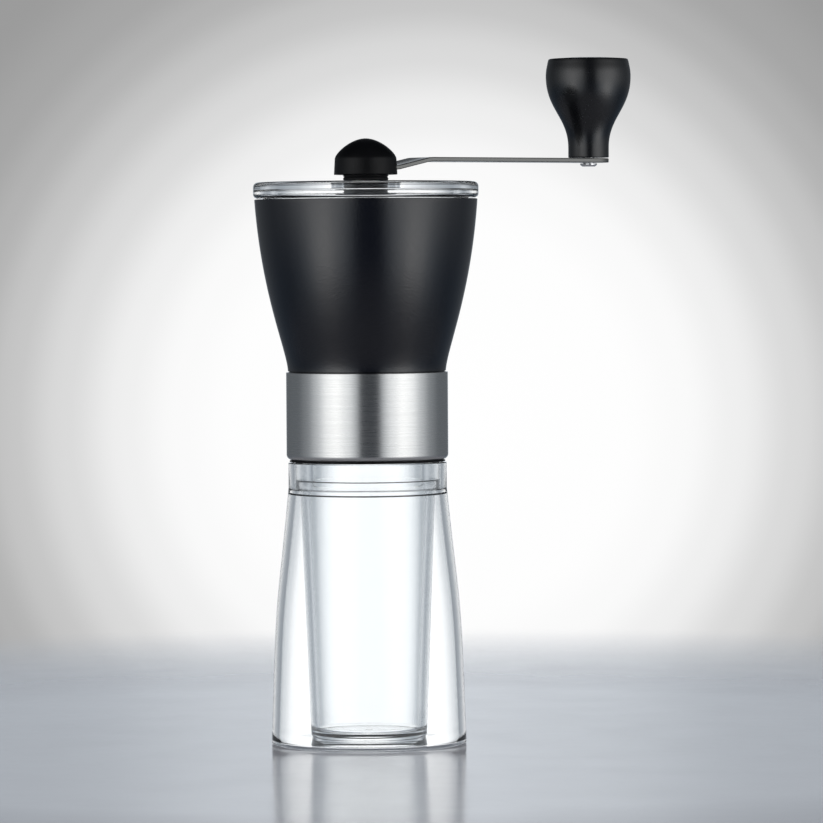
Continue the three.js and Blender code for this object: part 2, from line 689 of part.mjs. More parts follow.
const carrierFlangeRadius = () => skirtBore - FIT_GAP;

// Places of the carrier's screws, evenly round the middle of its flange.
function screwPlaces() {
  const pitchRadius = (carrierRadius + carrierFlangeRadius()) / 2;
  const places = [];
  for (let i = 0; i < SCREW_COUNT; i++) {
    const angle = around(i + 0.5, SCREW_COUNT);
    places.push([pitchRadius * Math.cos(angle), pitchRadius * Math.sin(angle)]);
  }
  return places;
}

// Flanged sleeve that holds the outer burr up against the hopper's shelf.
function burrCarrier() {
  const lipTop = outerBurrBottom - SEAT_GAP;
  const flangeTop = shelfBottom - SEAT_GAP;
  const flangeBottom = flangeTop - CARRIER_FLANGE;
  let body = solid(
    ring([
      [carrierRadius, lipTop - CARRIER_WALL],
      [carrierRadius, flangeBottom],
      [carrierFlangeRadius(), flangeBottom],
      [carrierFlangeRadius(), flangeTop],
      [carrierBore, flangeTop],
      [carrierBore, lipTop],
      [outerBurrRadius - CARRIER_LIP, lipTop],
      [outerBurrRadius - CARRIER_LIP, lipTop - CARRIER_WALL],
    ]),
  );
  for (const [x, y] of screwPlaces()) {
    const hole = rod(SCREW_RADIUS + FIT_GAP, flangeBottom - OVERCUT, flangeTop + OVERCUT, TINY_ROUND);
    body = body.subtract(solid(hole.translate(x, y, 0)));
  }
  return surface(body);
}

// Screw from below through the carrier's flange into the hopper's shelf.
function carrierScrew([x, y]) {
  const headTop = shelfBottom - 2 * SEAT_GAP - CARRIER_FLANGE;
  const length = CARRIER_FLANGE + 2 * SEAT_GAP + SCREW_GRIP;
  return screw(headTop, length).translate(x, y, 0);
}

// The grinding ring: a conical bore, wider at the top, with leaning flutes cut into it.
function outerBurr() {
  const low = BURR_RADIUS + BURR_CREST_GAP;
  const high = low + OUTER_BURR_MOUTH - FLUTE_DEPTH;
  const outline = [
    [outerBurrRadius, outerBurrBottom],
    [outerBurrRadius, outerBurrTop],
    [high, outerBurrTop],
    [low + (high - low) * OUTER_BURR_BELLY, outerBurrBottom + OUTER_BURR_HEIGHT * OUTER_BURR_BELLY],
    [low, outerBurrBottom + OUTER_BURR_HEIGHT * OUTER_BURR_LAND],
    [low, outerBurrBottom],
  ];
  const cut = (radius, height) => {
    if (radius > outerBurrRadius - FLUTE_DEPTH / 2) return 0;
    const risen = (height - outerBurrBottom) / OUTER_BURR_HEIGHT;
    return FLUTE_DEPTH * (FLUTE_SHALLOW_SHARE + (1 - FLUTE_SHALLOW_SHARE) * risen);
  };
  const raw = ring(outline, OUTER_FLUTES * FLUTE_STEPS);
  return twisted(fluted(raw, OUTER_FLUTES, cut), outerBurrBottom, -FLUTE_LEAN / 2);
}

// The grinding cone, driven by the shaft's hexagon, with leaning flutes cut into it.
function innerBurr() {
  const coneBottom = burrBottom + BURR_RIM_HEIGHT;
  const outline = [
    [0, burrBottom],
    [BURR_RADIUS - BURR_CHAMFER, burrBottom],
    [BURR_RADIUS, burrBottom + BURR_CHAMFER],
  ];
  for (let i = 0; i <= BURR_RINGS; i++) {
    const share = i / BURR_RINGS;
    const radius = BURR_RADIUS + (BURR_TOP_RADIUS - BURR_RADIUS) * share;
    outline.push([radius, coneBottom + (burrTop - coneBottom) * share]);
  }
  outline.push([0, burrTop]);
  const cut = (radius, height) => {
    if (radius < BURR_TOP_RADIUS / 2 || height < burrBottom + BURR_CHAMFER / 2) return 0;
    const risen = (height - burrBottom) / BURR_HEIGHT;
    return -FLUTE_DEPTH * (FLUTE_SHALLOW_SHARE + risen);
  };
  const raw = turned(outline, INNER_FLUTES * FLUTE_STEPS);
  const cone = solid(twisted(fluted(raw, INNER_FLUTES, cut), burrBottom, FLUTE_LEAN));
  return surface(cone.subtract(solid(hexBar(hexBoreSize, burrBottom - OVERCUT, burrTop + OVERCUT))));
}

// ---- Shaft and the small pieces on it ----

function bushingRadius() {
  return bore(SHAFT_RADIUS, RUN_GAP) + BUSHING_WALL;
}

// Shaft: hexagonal at the crank and at the burr, round in the bushing, with a stud for the dial.
function shaft() {
  const hexCut = (bottom, top) => {
    const blank = solid(rod(SHAFT_RADIUS + OVERCUT, bottom, top));
    return blank.subtract(solid(hexBar(hexSize, bottom - OVERCUT, top + OVERCUT)));
  };
  const grooveBottom = clipBottom - GROOVE_PLAY;
  const grooveTop = clipBottom + CLIP_THICKNESS + GROOVE_PLAY;
  const groove = tube(grooveRadius, SHAFT_RADIUS + OVERCUT, grooveBottom, grooveTop, SMALL_ROUND);
  const hexBottom = dialTop + SEAT_GAP / 2;
  const body = turned(
    [
      [0, shaftBottom],
      [studRadius - SHAFT_CHAMFER, shaftBottom],
      [studRadius, shaftBottom + SHAFT_CHAMFER],
      [studRadius, hexBottom],
      [SHAFT_RADIUS, hexBottom],
      [SHAFT_RADIUS, shaftTop - SHAFT_CHAMFER],
      [SHAFT_RADIUS - SHAFT_CHAMFER, shaftTop],
      [0, shaftTop],
    ],
    SMALL_ROUND,
  );
  return surface(
    solid(body)
      .subtract(hexCut(shaftTop - HEX_LENGTH, shaftTop + OVERCUT))
      .subtract(hexCut(hexBottom - OVERCUT, burrTop + SEAT_GAP / 2))
      .subtract(solid(groove)),
  );
}

// Flanged plain bearing in the spider's hub.
function shaftBushing() {
  const shaftBore = bore(SHAFT_RADIUS, RUN_GAP);
  const flangeBottom = spiderTop + SEAT_GAP;
  return ring(
    [
      [bushingRadius(), spiderBottom],
      [bushingRadius(), flangeBottom],
      [bushingRadius() + BUSHING_FLANGE_WIDTH, flangeBottom],
      [bushingRadius() + BUSHING_FLANGE_WIDTH, bushingTop],
      [shaftBore, bushingTop],
      [shaftBore, spiderBottom],
    ],
    SMALL_ROUND,
  );
}

// Open clip in the shaft's groove that stops the shaft from dropping through the bushing.
function retainingClip() {
  const clipTop = clipBottom + CLIP_THICKNESS;
  const disc = tube(bore(grooveRadius, FIT_GAP), clipRadius, clipBottom, clipTop, SMALL_ROUND);
  const mouth = new THREE.BoxGeometry(clipRadius, 2 * grooveRadius, CLIP_THICKNESS * 3);
  mouth.translate(clipRadius / 2 + CLIP_MOUTH, 0, clipBottom);
  return surface(solid(disc).subtract(solid(mouth)));
}

// Thin washer between the spring and the spider.
function springWasher() {
  const underside = springWasherTop - WASHER_THICKNESS;
  return tube(bore(SHAFT_RADIUS, FIT_GAP), springWasherRadius, underside, springWasherTop, SMALL_ROUND);
}

// Centre line of the coil spring.
class CoilLine extends THREE.Curve {
  getPoint(share, target = new THREE.Vector3()) {
    const angle = share * SPRING_TURNS * 2 * Math.PI;
    const low = springBottom + SPRING_WIRE;
    const high = springTop - SPRING_WIRE;
    const height = low + (high - low) * share;
    return target.set(springRadius * Math.cos(angle), springRadius * Math.sin(angle), height);
  }
}

// Coil spring that pushes the inner burr down on to the dial.
function burrSpring() {
  const wire = new THREE.Shape();
  wire.absarc(0, 0, SPRING_WIRE, 0, 2 * Math.PI);
  return new THREE.ExtrudeGeometry(wire, {
    steps: SPRING_TURNS * SPRING_STEPS,
    curveSegments: SPRING_WIRE_SIDES,
    extrudePath: new CoilLine(),
  });
}

// Thin washer with click notches between the inner burr and the dial.
function detentWasher() {
  const disc = rod(detentRadius, detentBottom, detentTop, SMALL_ROUND);
  let body = solid(disc).subtract(solid(hexBar(hexBoreSize, detentBottom - OVERCUT, detentTop + OVERCUT)));
  for (let i = 0; i < DIAL_LOBES; i++) {
    const notch = new THREE.BoxGeometry(DETENT_NOTCH_DEPTH * 2, DETENT_NOTCH_WIDTH, WASHER_THICKNESS * 3);
    notch.translate(detentRadius, 0, detentBottom);
    body = body.subtract(solid(notch.rotateZ(around(i, DIAL_LOBES))));
  }
  return surface(body);
}

// Lobed nut on the shaft's stud that sets how far apart the burrs stand.
function adjustingDial() {
  const shape = new THREE.Shape();
  const steps = DIAL_LOBES * DIAL_LOBE_STEPS;
  for (let i = 0; i < steps; i++) {
    const angle = around(i, steps);
    const hollow = 1 - Math.abs(Math.cos((angle * DIAL_LOBES) / 2));
    const radius = DIAL_RADIUS - DIAL_LOBE_DEPTH * hollow;
    const point = [radius * Math.cos(angle), radius * Math.sin(angle)];
    if (i === 0) shape.moveTo(...point);
    else shape.lineTo(...point);
  }
  shape.closePath();
  const stud = rod(bore(studRadius, RUN_GAP), dialBottom - OVERCUT, dialTop + OVERCUT);
  return surface(solid(upright(shape, dialBottom, dialTop)).subtract(solid(stud)));
}

// ---- Lid ----

// Clear lid: thick rounded ring, thinner plate with a hole for the crank's collar, and a locating skirt.
function lid() {
  const ringBore = lidRadius - LID_RING_WIDTH;
  const ringFloor = lidBottom + LID_RING_FLOOR;
  const skirtFoot = lidBottom - LID_SKIRT_HEIGHT;
  const boresAlongSkirt = hopperSide(HOPPER_WALL, waistBottom, 40)
    .filter(([, height]) => height > skirtFoot - LOOSE_GAP * 5)
    .map(([radius]) => radius);
  const skirtRadius = Math.min(...boresAlongSkirt) - LOOSE_GAP;
  const hole = bore(COLLAR_RADIUS, LOOSE_GAP, ROUND);
  const plateBottom = lidTop - LID_PLATE;
  return ring([
    [skirtRadius, skirtFoot],
    [skirtRadius, lidBottom],
    ...corner([lidRadius - LID_EDGE, lidBottom + LID_EDGE], LID_EDGE, -Math.PI / 2, 0, 3),
    ...corner([lidRadius - LID_EDGE, lidTop - LID_EDGE], LID_EDGE, 0, Math.PI / 2, 3),
    [hole, lidTop],
    [hole, plateBottom],
    [ringBore, plateBottom],
    [ringBore, ringFloor],
    [skirtRadius - LID_SKIRT_WALL, ringFloor],
    [skirtRadius - LID_SKIRT_WALL, skirtFoot],
  ]);
}

// ---- Crank ----

// Ringed collar with the hexagonal bore that drops on the shaft, and a boss that keys the arm.
function hubSocket() {
  const rings = [];
  const spacing = COLLAR_LENGTH / (COLLAR_RINGS + 1);
  for (let i = 1; i <= COLLAR_RINGS; i++) {
    const height = hubCollarBottom + spacing * i;
    rings.push([COLLAR_RADIUS, height - COLLAR_RING_DEPTH]);
    rings.push([COLLAR_RADIUS - COLLAR_RING_DEPTH, height]);
    rings.push([COLLAR_RADIUS, height + COLLAR_RING_DEPTH]);
  }
  const turnedSocket = turned([
    [0, hubCollarBottom],
    [COLLAR_RADIUS, hubCollarBottom],
    ...rings,
    [COLLAR_RADIUS, hubBottom],
    [hubFlangeRadius, hubBottom],
    [hubFlangeRadius, hubFlangeTop],
    [0, hubFlangeTop],
  ], SMALL_ROUND);
  const screwBore = rod(SCREW_RADIUS + FIT_GAP, hubBoreTop - OVERCUT, hubBossTop + OVERCUT, TINY_ROUND);
  return surface(
    solid(turnedSocket)
      .add(solid(hexBar(hubBossSize, hubFlangeTop - SEAT_GAP, hubBossTop)))
      .subtract(solid(hexBar(hexBoreSize, hubCollarBottom - OVERCUT, hubBoreTop)))
      .subtract(solid(screwBore)),
  );
}

// The arm's side view from the hub end to beyond its tip, thickened by the given margin.
function armSide(start, end, margin) {
  const slope = Math.atan2(ARM_RISE, ARM_SLOPE_LENGTH);
  const miter = Math.tan(slope / 2);
  const low = armBottom - margin;
  const high = armBottom + ARM_THICKNESS + margin;
  const lowBend = margin * miter;
  const highBend = (ARM_THICKNESS + margin) * miter;
  const slopeEnd = ARM_FLAT + ARM_SLOPE_LENGTH;
  const shape = new THREE.Shape();
  shape.moveTo(start, low);
  shape.lineTo(ARM_FLAT + lowBend, low);
  shape.lineTo(slopeEnd + lowBend, low + ARM_RISE);
  shape.lineTo(end, low + ARM_RISE);
  shape.lineTo(end, high + ARM_RISE);
  shape.lineTo(slopeEnd - highBend, high + ARM_RISE);
  shape.lineTo(ARM_FLAT - highBend, high);
  shape.lineTo(start, high);
  shape.closePath();
  return shape;
}

// A shape in the XZ plane, extruded to the given width across Y.
function across(shape, width) {
  const geometry = new THREE.ExtrudeGeometry(shape, { depth: width, bevelEnabled: false });
  return geometry.rotateX(Math.PI / 2).translate(0, width / 2, 0);
}

// Flat steel bar with round ends, cranked up between its hub and its long level run.
function crankArm() {
  const half = ARM_WIDTH / 2;
  const plan = new THREE.Shape();
  plan.absarc(CRANK_RADIUS, 0, half, -Math.PI / 2, Math.PI / 2);
  plan.absarc(0, 0, half, Math.PI / 2, (3 * Math.PI) / 2);
  plan.closePath();
  const blank = solid(upright(plan, armBottom - OVERCUT, armTop + OVERCUT));
  const bar = solid(across(armSide(-ARM_WIDTH, CRANK_RADIUS + ARM_WIDTH, 0), ARM_WIDTH * 2));
  const key = solid(hexBar(hubBossSize + 2 * SEAT_GAP, armBottom - OVERCUT, armTop));
  const pinHole = rod(PIN_NECK_RADIUS + SEAT_GAP, armBottom, armTop + OVERCUT, TINY_ROUND);
  pinHole.translate(CRANK_RADIUS, 0, 0);
  return surface(blank.intersect(bar).subtract(key).subtract(solid(pinHole)));
}

// Black cap over the hub: a recess for the flange, a window for the arm, a blind hole for the screw.
function hubDome() {
  const sideTop = hubBottom + DOME_SIDE_HEIGHT;
  const sideRadius = domeRadius - DOME_DRAFT;
  const domeTop = hubBottom + DOME_HEIGHT;
  const shoulderHandle = [sideRadius - DOME_DRAFT, sideTop + DOME_SHOULDER_RISE];
  const crownHandle = [sideRadius * DOME_CROWN_SHARE, domeTop];
  const crown = curve([sideRadius, sideTop], shoulderHandle, crownHandle, [0, domeTop], 8);
  let body = solid(turned([[0, hubBottom], [domeRadius, hubBottom], ...crown]));
  const recess = rod(bore(hubFlangeRadius, FIT_GAP), hubBottom - OVERCUT, armBottom + SEAT_GAP);
  const windowSide = armSide(-ARM_WIDTH / 2 - SEAT_GAP, CRANK_RADIUS, SEAT_GAP);
  const window = across(windowSide, ARM_WIDTH + 2 * SEAT_GAP);
  const bossRadius = hubBossSize / 2 / Math.cos(Math.PI / 6);
  const bossRoom = rod(bossRadius + FIT_GAP, armBottom, hubBossTop + SEAT_GAP);
  const screwTip = hubBossTop + HUB_SCREW_GRIP + SEAT_GAP * 2;
  const screwHole = rod(SCREW_RADIUS + FIT_GAP, hubBossTop, screwTip, TINY_ROUND);
  for (const cut of [recess, window, bossRoom, screwHole]) body = body.subtract(solid(cut));
  return surface(body);
}

// Screw from inside the socket's bore up through the boss into the dome.
const hubScrew = () => screw(hubBoreTop - SEAT_GAP, SEAT_GAP * 2 + HUB_BORE_CAP + HUB_SCREW_GRIP);

// ---- Knob ----

// The knob's outer side: a straight stem flaring to its widest place, then a softly rounded top edge.
function knobSide() {
  const z = (height) => knobBottom + height;
  const flare = curve(
    [KNOB_STEM_RADIUS, z(KNOB_STEM_HEIGHT)],
    [KNOB_STEM_RADIUS, z(KNOB_STEM_HEIGHT + KNOB_STEM_PULL)],
    [KNOB_RADIUS, z(KNOB_WIDE_HEIGHT - KNOB_WIDE_PULL)],
    [KNOB_RADIUS, z(KNOB_WIDE_HEIGHT)],
    9,
  );
  const shoulder = KNOB_RADIUS - KNOB_TAPER;
  const taperStart = z((KNOB_WIDE_HEIGHT + KNOB_SIDE_HEIGHT) / 2);
  return [
    [KNOB_STEM_RADIUS, knobBottom],
    ...flare,
    [KNOB_RADIUS - KNOB_TAPER * KNOB_TAPER_START, taperStart],
    ...corner([shoulder - KNOB_EDGE, z(KNOB_SIDE_HEIGHT)], KNOB_EDGE, 0, Math.PI / 2, 3),
  ];
}

const knobWasherRadius = () => bore(PIN_RADIUS, RUN_GAP) + KNOB_WASHER_WIDTH;

// Turned knob with a running bore, a recess for the washer below and one for the cap above.
function knobBody() {
  const pinBore = bore(PIN_RADIUS, RUN_GAP);
  const washerRoom = bore(knobWasherRadius(), FIT_GAP);
  const headRoom = bore(pinHeadRadius, FIT_GAP);
  const capRoom = bore(CAP_RADIUS, FIT_GAP);
  return ring([
    ...knobSide(),
    [capRoom, capEdge],
    [capRoom, capBottom - SEAT_GAP],
    [headRoom, capBottom - SEAT_GAP],
    [headRoom, pinShoulderTop],
    [pinBore, pinShoulderTop],
    [pinBore, knobWasherTop + SEAT_GAP],
    [washerRoom, knobWasherTop + SEAT_GAP],
    [washerRoom, knobBottom],
  ], SMALL_ROUND);
}

// Plug that covers the pin's head, its top gently domed into the knob's.
function knobCap() {
  const levelHeight = capEdge + (knobTop - capEdge) * CAP_CROWN_RISE;
  return turned([
    [0, capBottom],
    [CAP_RADIUS, capBottom],
    [CAP_RADIUS, capEdge],
    [CAP_RADIUS * CAP_CROWN_RADIUS, levelHeight],
    [0, knobTop],
  ], SMALL_ROUND);
}

// Shoulder rivet: closed under the arm, running in the knob, its head hidden below the cap.
function knobPin() {
  const rivetTop = armTop - ARM_THICKNESS - SEAT_GAP;
  const rivetBottom = rivetTop - RIVET_HEIGHT;
  const headBottom = pinShoulderTop + SEAT_GAP;
  const headTop = headBottom + PIN_HEAD_HEIGHT;
  return turned([
    [0, rivetBottom],
    [RIVET_RADIUS * RIVET_CROWN, rivetBottom],
    [RIVET_RADIUS, rivetBottom + RIVET_HEIGHT / 2],
    [RIVET_RADIUS, rivetTop],
    [PIN_NECK_RADIUS, rivetTop],
    [PIN_NECK_RADIUS, knobBottom],
    [PIN_RADIUS, knobBottom],
    [PIN_RADIUS, headBottom],
    [pinHeadRadius, headBottom],
    [pinHeadRadius, headTop],
    [0, headTop],
  ], SMALL_ROUND);
}

// Washer in the knob's foot that it turns on.
function knobWasher() {
  return tube(bore(PIN_RADIUS, RUN_GAP), knobWasherRadius(), knobBottom, knobWasherTop, SMALL_ROUND);
}

// ---- Assembly ----

place("jar_shell", jarShell(), clearPlastic());
place("jar_cup", jarCup(), clearPlastic());
place("jar_base", jarBase(), clearPlastic());
place("neck_seal", neckSeal(), silicone());
place("thread_collar", threadCollar(), blackPlastic());
place("steel_band", steelBand(), brushedSteel());
place("hopper", hopper(), blackPlastic());
place("burr_carrier", burrCarrier(), blackPlastic());
screwPlaces().forEach((spot, i) => place(`carrier_screw_${i + 1}`, carrierScrew(spot), turnedSteel()));
place("outer_burr", outerBurr(), ceramic());
place("inner_burr", innerBurr(), ceramic());
place("shaft", shaft(), turnedSteel());
place("shaft_bushing", shaftBushing(), blackPlastic());
place("retaining_clip", retainingClip(), springSteel());
place("spring_washer", springWasher(), turnedSteel());
place("burr_spring", burrSpring(), springSteel());
place("detent_washer", detentWasher(), turnedSteel());
place("adjusting_dial", adjustingDial(), blackPlastic());
place("lid", lid(), clearPlastic());
place("hub_socket", hubSocket(), blackPlastic());
place("hub_dome", hubDome(), blackPlastic());
place("hub_screw", hubScrew(), turnedSteel());
place("crank_arm", crankArm(), brushedSteel());
const knobPieces = [
  place("knob_body", knobBody(), blackPlastic()),
  place("knob_cap", knobCap(), blackPlastic()),
  place("knob_pin", knobPin(), turnedSteel()),
  place("knob_washer", knobWasher(), turnedSteel()),
];
for (const piece of knobPieces) piece.position.x = CRANK_RADIUS;

export default grinder;
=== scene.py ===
# %% [markdown]
# # A hand crank coffee grinder
#
# The grinder stands on its clear jar. A screw-on mill sits on top: a brushed steel band, a flared black
# hopper, a clear lid and a crank with a turned knob. The imported frame already holds every piece at its
# real size and place, so this lesson only gives the pieces their fine surfaces and finishes. Almost all of
# them are turned or moulded round one axis, so one helper that sweeps an outline round the axis does most
# of the work. The small parts hidden inside the mill keep the frame's own shape and get a finish. We load
# the frame first.

# %% Load the frame
import json
import math

import bmesh
import bpy
import numpy as np
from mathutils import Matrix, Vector


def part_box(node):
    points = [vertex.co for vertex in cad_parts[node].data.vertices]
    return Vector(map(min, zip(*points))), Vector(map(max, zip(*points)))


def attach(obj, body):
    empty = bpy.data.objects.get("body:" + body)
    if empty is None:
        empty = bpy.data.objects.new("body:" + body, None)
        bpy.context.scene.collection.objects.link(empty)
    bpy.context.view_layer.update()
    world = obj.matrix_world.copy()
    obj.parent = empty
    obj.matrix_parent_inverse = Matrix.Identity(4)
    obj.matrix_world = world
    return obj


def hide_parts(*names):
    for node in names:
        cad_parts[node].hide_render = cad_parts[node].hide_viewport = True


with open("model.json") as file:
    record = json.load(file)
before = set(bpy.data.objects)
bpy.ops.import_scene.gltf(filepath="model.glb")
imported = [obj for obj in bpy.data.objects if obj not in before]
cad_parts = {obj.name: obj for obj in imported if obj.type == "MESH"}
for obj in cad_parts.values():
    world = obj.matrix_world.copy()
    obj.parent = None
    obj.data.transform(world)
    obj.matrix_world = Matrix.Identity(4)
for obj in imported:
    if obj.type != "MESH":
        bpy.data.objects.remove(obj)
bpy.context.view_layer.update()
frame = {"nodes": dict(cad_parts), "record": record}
MM = 0.001
TURN = 2 * math.pi

# %% [markdown]
# ## The camera
#
# A long lens from nearly two metres keeps the sides of the grinder almost parallel, so that its tall shape
# reads true. It looks from just above the horizon, with the crank pointing to the right and away.

# %% Camera
VIEW_AZIMUTH = math.radians(-34)
VIEW_ELEVATION = math.radians(1.8)
VIEW_DISTANCE = 1.75
VIEW_ROLL = math.radians(-0.35)
AIM_HEIGHT = 116.3 * MM
AIM_SIDE = 15.5 * MM
SENSOR_WIDTH = 36
FOCAL_LENGTH = 218.7

to_camera = Vector((
    math.sin(VIEW_AZIMUTH) * math.cos(VIEW_ELEVATION),
    -math.cos(VIEW_AZIMUTH) * math.cos(VIEW_ELEVATION),
    math.sin(VIEW_ELEVATION),
))
camera_right = Vector((math.cos(VIEW_AZIMUTH), math.sin(VIEW_AZIMUTH), 0))
aim = camera_right * AIM_SIDE + Vector((0, 0, AIM_HEIGHT))

camera_data = bpy.data.cameras.new("camera")
camera_data.sensor_width = SENSOR_WIDTH
camera_data.lens = FOCAL_LENGTH
camera_data.clip_start = 0.1
camera_data.clip_end = 50
camera = bpy.data.objects.new("camera", camera_data)
bpy.context.scene.collection.objects.link(camera)
camera.location = aim + to_camera * VIEW_DISTANCE
camera.rotation_euler = (-to_camera).to_track_quat("-Z", "Y").to_euler()
camera.rotation_euler.rotate_axis("Z", VIEW_ROLL)
bpy.context.scene.camera = camera
bpy.context.scene.view_settings.view_transform = "Standard"
print("camera", [round(c, 3) for c in camera.location])

# %% [markdown]
# ## Surfaces from numpy grids
#
# Each new piece is a grid of points worked out as one array. Neighbouring grid points make the faces, and
# points that fall together, such as a pole or the line along the middle of a flat bar, are merged.

# %% Grid to mesh
SMOOTH_ANGLE = math.radians(32)
MERGE_DISTANCE = 0.001 * MM


def grid_piece(name, points, wrap_rows=False, wrap_columns=True):
    """A mesh from points[row, column, xyz]; a wrapped direction joins its last line to its first."""
    rows, columns = points.shape[:2]
    index = np.arange(rows * columns).reshape(rows, columns)
    down = np.arange(rows if wrap_rows else rows - 1)
    along = np.arange(columns if wrap_columns else columns - 1)
    here = index[np.ix_(down, along)]
    right = index[np.ix_(down, (along + 1) % columns)]
    above = index[np.ix_((down + 1) % rows, along)]
    across = index[np.ix_((down + 1) % rows, (along + 1) % columns)]
    faces = np.stack([here, right, across, above], axis=-1).reshape(-1, 4)
    mesh = bpy.data.meshes.new(name)
    mesh.from_pydata(points.reshape(-1, 3).tolist(), [], faces.tolist())
    work = bmesh.new()
    work.from_mesh(mesh)
    bmesh.ops.remove_doubles(work, verts=work.verts, dist=MERGE_DISTANCE)
    bmesh.ops.recalc_face_normals(work, faces=work.faces)
    work.to_mesh(mesh)
    work.free()
    mesh.shade_smooth()
    mesh.set_sharp_from_angle(angle=SMOOTH_ANGLE)
    piece = bpy.data.objects.new(name, mesh)
    bpy.context.scene.collection.objects.link(piece)
    print(name, len(mesh.polygons), "faces")
    return piece


# %% [markdown]
# An outline is a list of corners, each a radius, a height and how round the corner is. Real mouldings have
# no knife edges, so nearly every corner gets a small arc. Arcs catch the thin lines of light that make a
# clear jar or a steel edge look real.

# %% Outlines
ARC_STEPS = 7
LONGEST_TRIM = 0.49
HOLD = 0.25 * MM
LONGEST_HOLD = 0.4


def outline(*parts):
    """Joins parts into one run of [radius, height] points.

    A part is a corner (radius, height, roundness) or an array of ready points. A corner's arc touches both
    of its sides at roundness * tan(half the turn) from the corner.
    """
    corners = []
    for part in parts:
        if isinstance(part, tuple):
            corners.append((part[0], part[1], part[2] if len(part) > 2 else 0.0))
        else:
            corners.extend((r, z, 0.0) for r, z in part)
    return corners


def rounded(corners, closed):
    """Points of an outline with each corner's arc: centre on the bisector, swept from side to side.

    An arc takes up less than half of either side. One more point is set a little past each of its ends, so
    that the long straight faces shade as flat.
    """
    points = []
    count = len(corners)
    for i, (r, z, roundness) in enumerate(corners):
        here = np.array([r, z])
        if roundness == 0 or (not closed and i in (0, count - 1)):
            points.append(here[None])
            continue
        before = np.array(corners[i - 1][:2]) - here
        after = np.array(corners[(i + 1) % count][:2]) - here
        lengths = np.linalg.norm(before), np.linalg.norm(after)
        before = before / lengths[0]
        after = after / lengths[1]
        half = math.acos(np.clip(before @ after, -1, 1)) / 2
        trim = min(roundness / math.tan(half), min(lengths) * LONGEST_TRIM)
        radius = trim * math.tan(half)
        bisector = (before + after) / np.linalg.norm(before + after)
        centre = here + bisector * radius / math.sin(half)
        share = np.linspace(0, 1, ARC_STEPS)[:, None]
        start = here + before * trim - centre
        end = here + after * trim - centre
        sweep = math.pi - 2 * half
        arc = (np.sin((1 - share) * sweep) * start + np.sin(share * sweep) * end) / math.sin(sweep)
        holds = [trim + min(HOLD, LONGEST_HOLD * (length / 2 - trim)) for length in lengths]
        points.append((here + before * holds[0])[None])
        points.append(centre + arc)
        points.append((here + after * holds[1])[None])
    return np.vstack(points)


def bezier(start, start_handle, end_handle, end, steps):
    """Cubic curve: the four points weighted by the Bernstein polynomials of t."""
    t = np.linspace(0, 1, steps)[:, None]
    weights = ((1 - t) ** 3, 3 * t * (1 - t) ** 2, 3 * t**2 * (1 - t), t**3)
    points = (start, start_handle, end_handle, end)
    return sum(w * np.array(p, float) for w, p in zip(weights, points))


def revolved(profile, sides=128):
    """Each outline point (r, z) swept round Z: x = r cos a, y = r sin a, z."""
    angle = np.arange(sides) * TURN / sides
    r = profile[:, 0][:, None]
    z = np.repeat(profile[:, 1][:, None], sides, axis=1)
    return np.stack([r * np.cos(angle), r * np.sin(angle), z], axis=-1)


def turned_piece(name, corners, closed=True, sides=128):
    """A solid of revolution; an open outline starts and ends on the axis."""
    points = revolved(rounded(corners, closed), sides)
    return grid_piece(name, points, wrap_rows=closed)


# %% [markdown]
# ## Reading sizes from the frame
#
# The fine pieces must fit the frame, so their radii and heights are read from its vertices.

# %% Measures
SAME_PLACE = 0.02 * MM


def vertices(node):
    """All corners of a frame node as an array."""
    mesh = frame["nodes"][node].data
    flat = np.empty(len(mesh.vertices) * 3)
    mesh.vertices.foreach_get("co", flat)
    return flat.reshape(-1, 3)


def radii_at(node, height, centre_x=0.0):
    """The different radii, small to large, that a node's corners have at a height."""
    corners = vertices(node)
    level = corners[np.abs(corners[:, 2] - height) < SAME_PLACE]
    radii = np.hypot(level[:, 0] - centre_x, level[:, 1])
    return np.unique(np.round(radii, 5))


def low(node):
    """The height of a node's lowest point."""
    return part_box(node)[0].z


def high(node):
    """The height of a node's highest point."""
    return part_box(node)[1].z


def reach(node):
    """How far a node reaches along X, its radius if it is round."""
    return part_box(node)[1].x


shell_top = high("jar_shell")
neck_bore, neck_radius = radii_at("jar_shell", shell_top)[[0, -1]]
foot_radius = reach("jar_shell")
print("jar neck", neck_bore, neck_radius, "foot", foot_radius, "top", shell_top)

# %% [markdown]
# ## Finishes
#
# Every finish is a Principled shader. Plain numbers sit on the shader's own sockets, and only the colour,
# the roughness and the bump are driven by textures, so each surface has its own grain and slight wear.

# %% Finish helpers
MID_SPREAD = (0.3, 0.7)


def new_finish(name, **values):
    """A material with one Principled shader; values are set straight on its sockets."""
    material = bpy.data.materials.new(name)
    material.use_nodes = True
    shader = material.node_tree.nodes["Principled BSDF"]
    for socket, value in values.items():
        shader.inputs[socket.replace("_", " ")].default_value = value
    return material, material.node_tree, shader


def noise(tree, scale, stretch=(1, 1, 1), detail=4.0, roughness=0.55):
    """A noise texture on Object coordinates, stretched by a Mapping node; returns its value socket."""
    place = tree.nodes.new("ShaderNodeTexCoord")
    mapping = tree.nodes.new("ShaderNodeMapping")
    mapping.inputs["Scale"].default_value = stretch
    texture = tree.nodes.new("ShaderNodeTexNoise")
    texture.inputs["Scale"].default_value = scale
    texture.inputs["Detail"].default_value = detail
    texture.inputs["Roughness"].default_value = roughness
    tree.links.new(place.outputs["Object"], mapping.inputs["Vector"])
    tree.links.new(mapping.outputs["Vector"], texture.inputs["Vector"])
    return texture.outputs["Fac"]


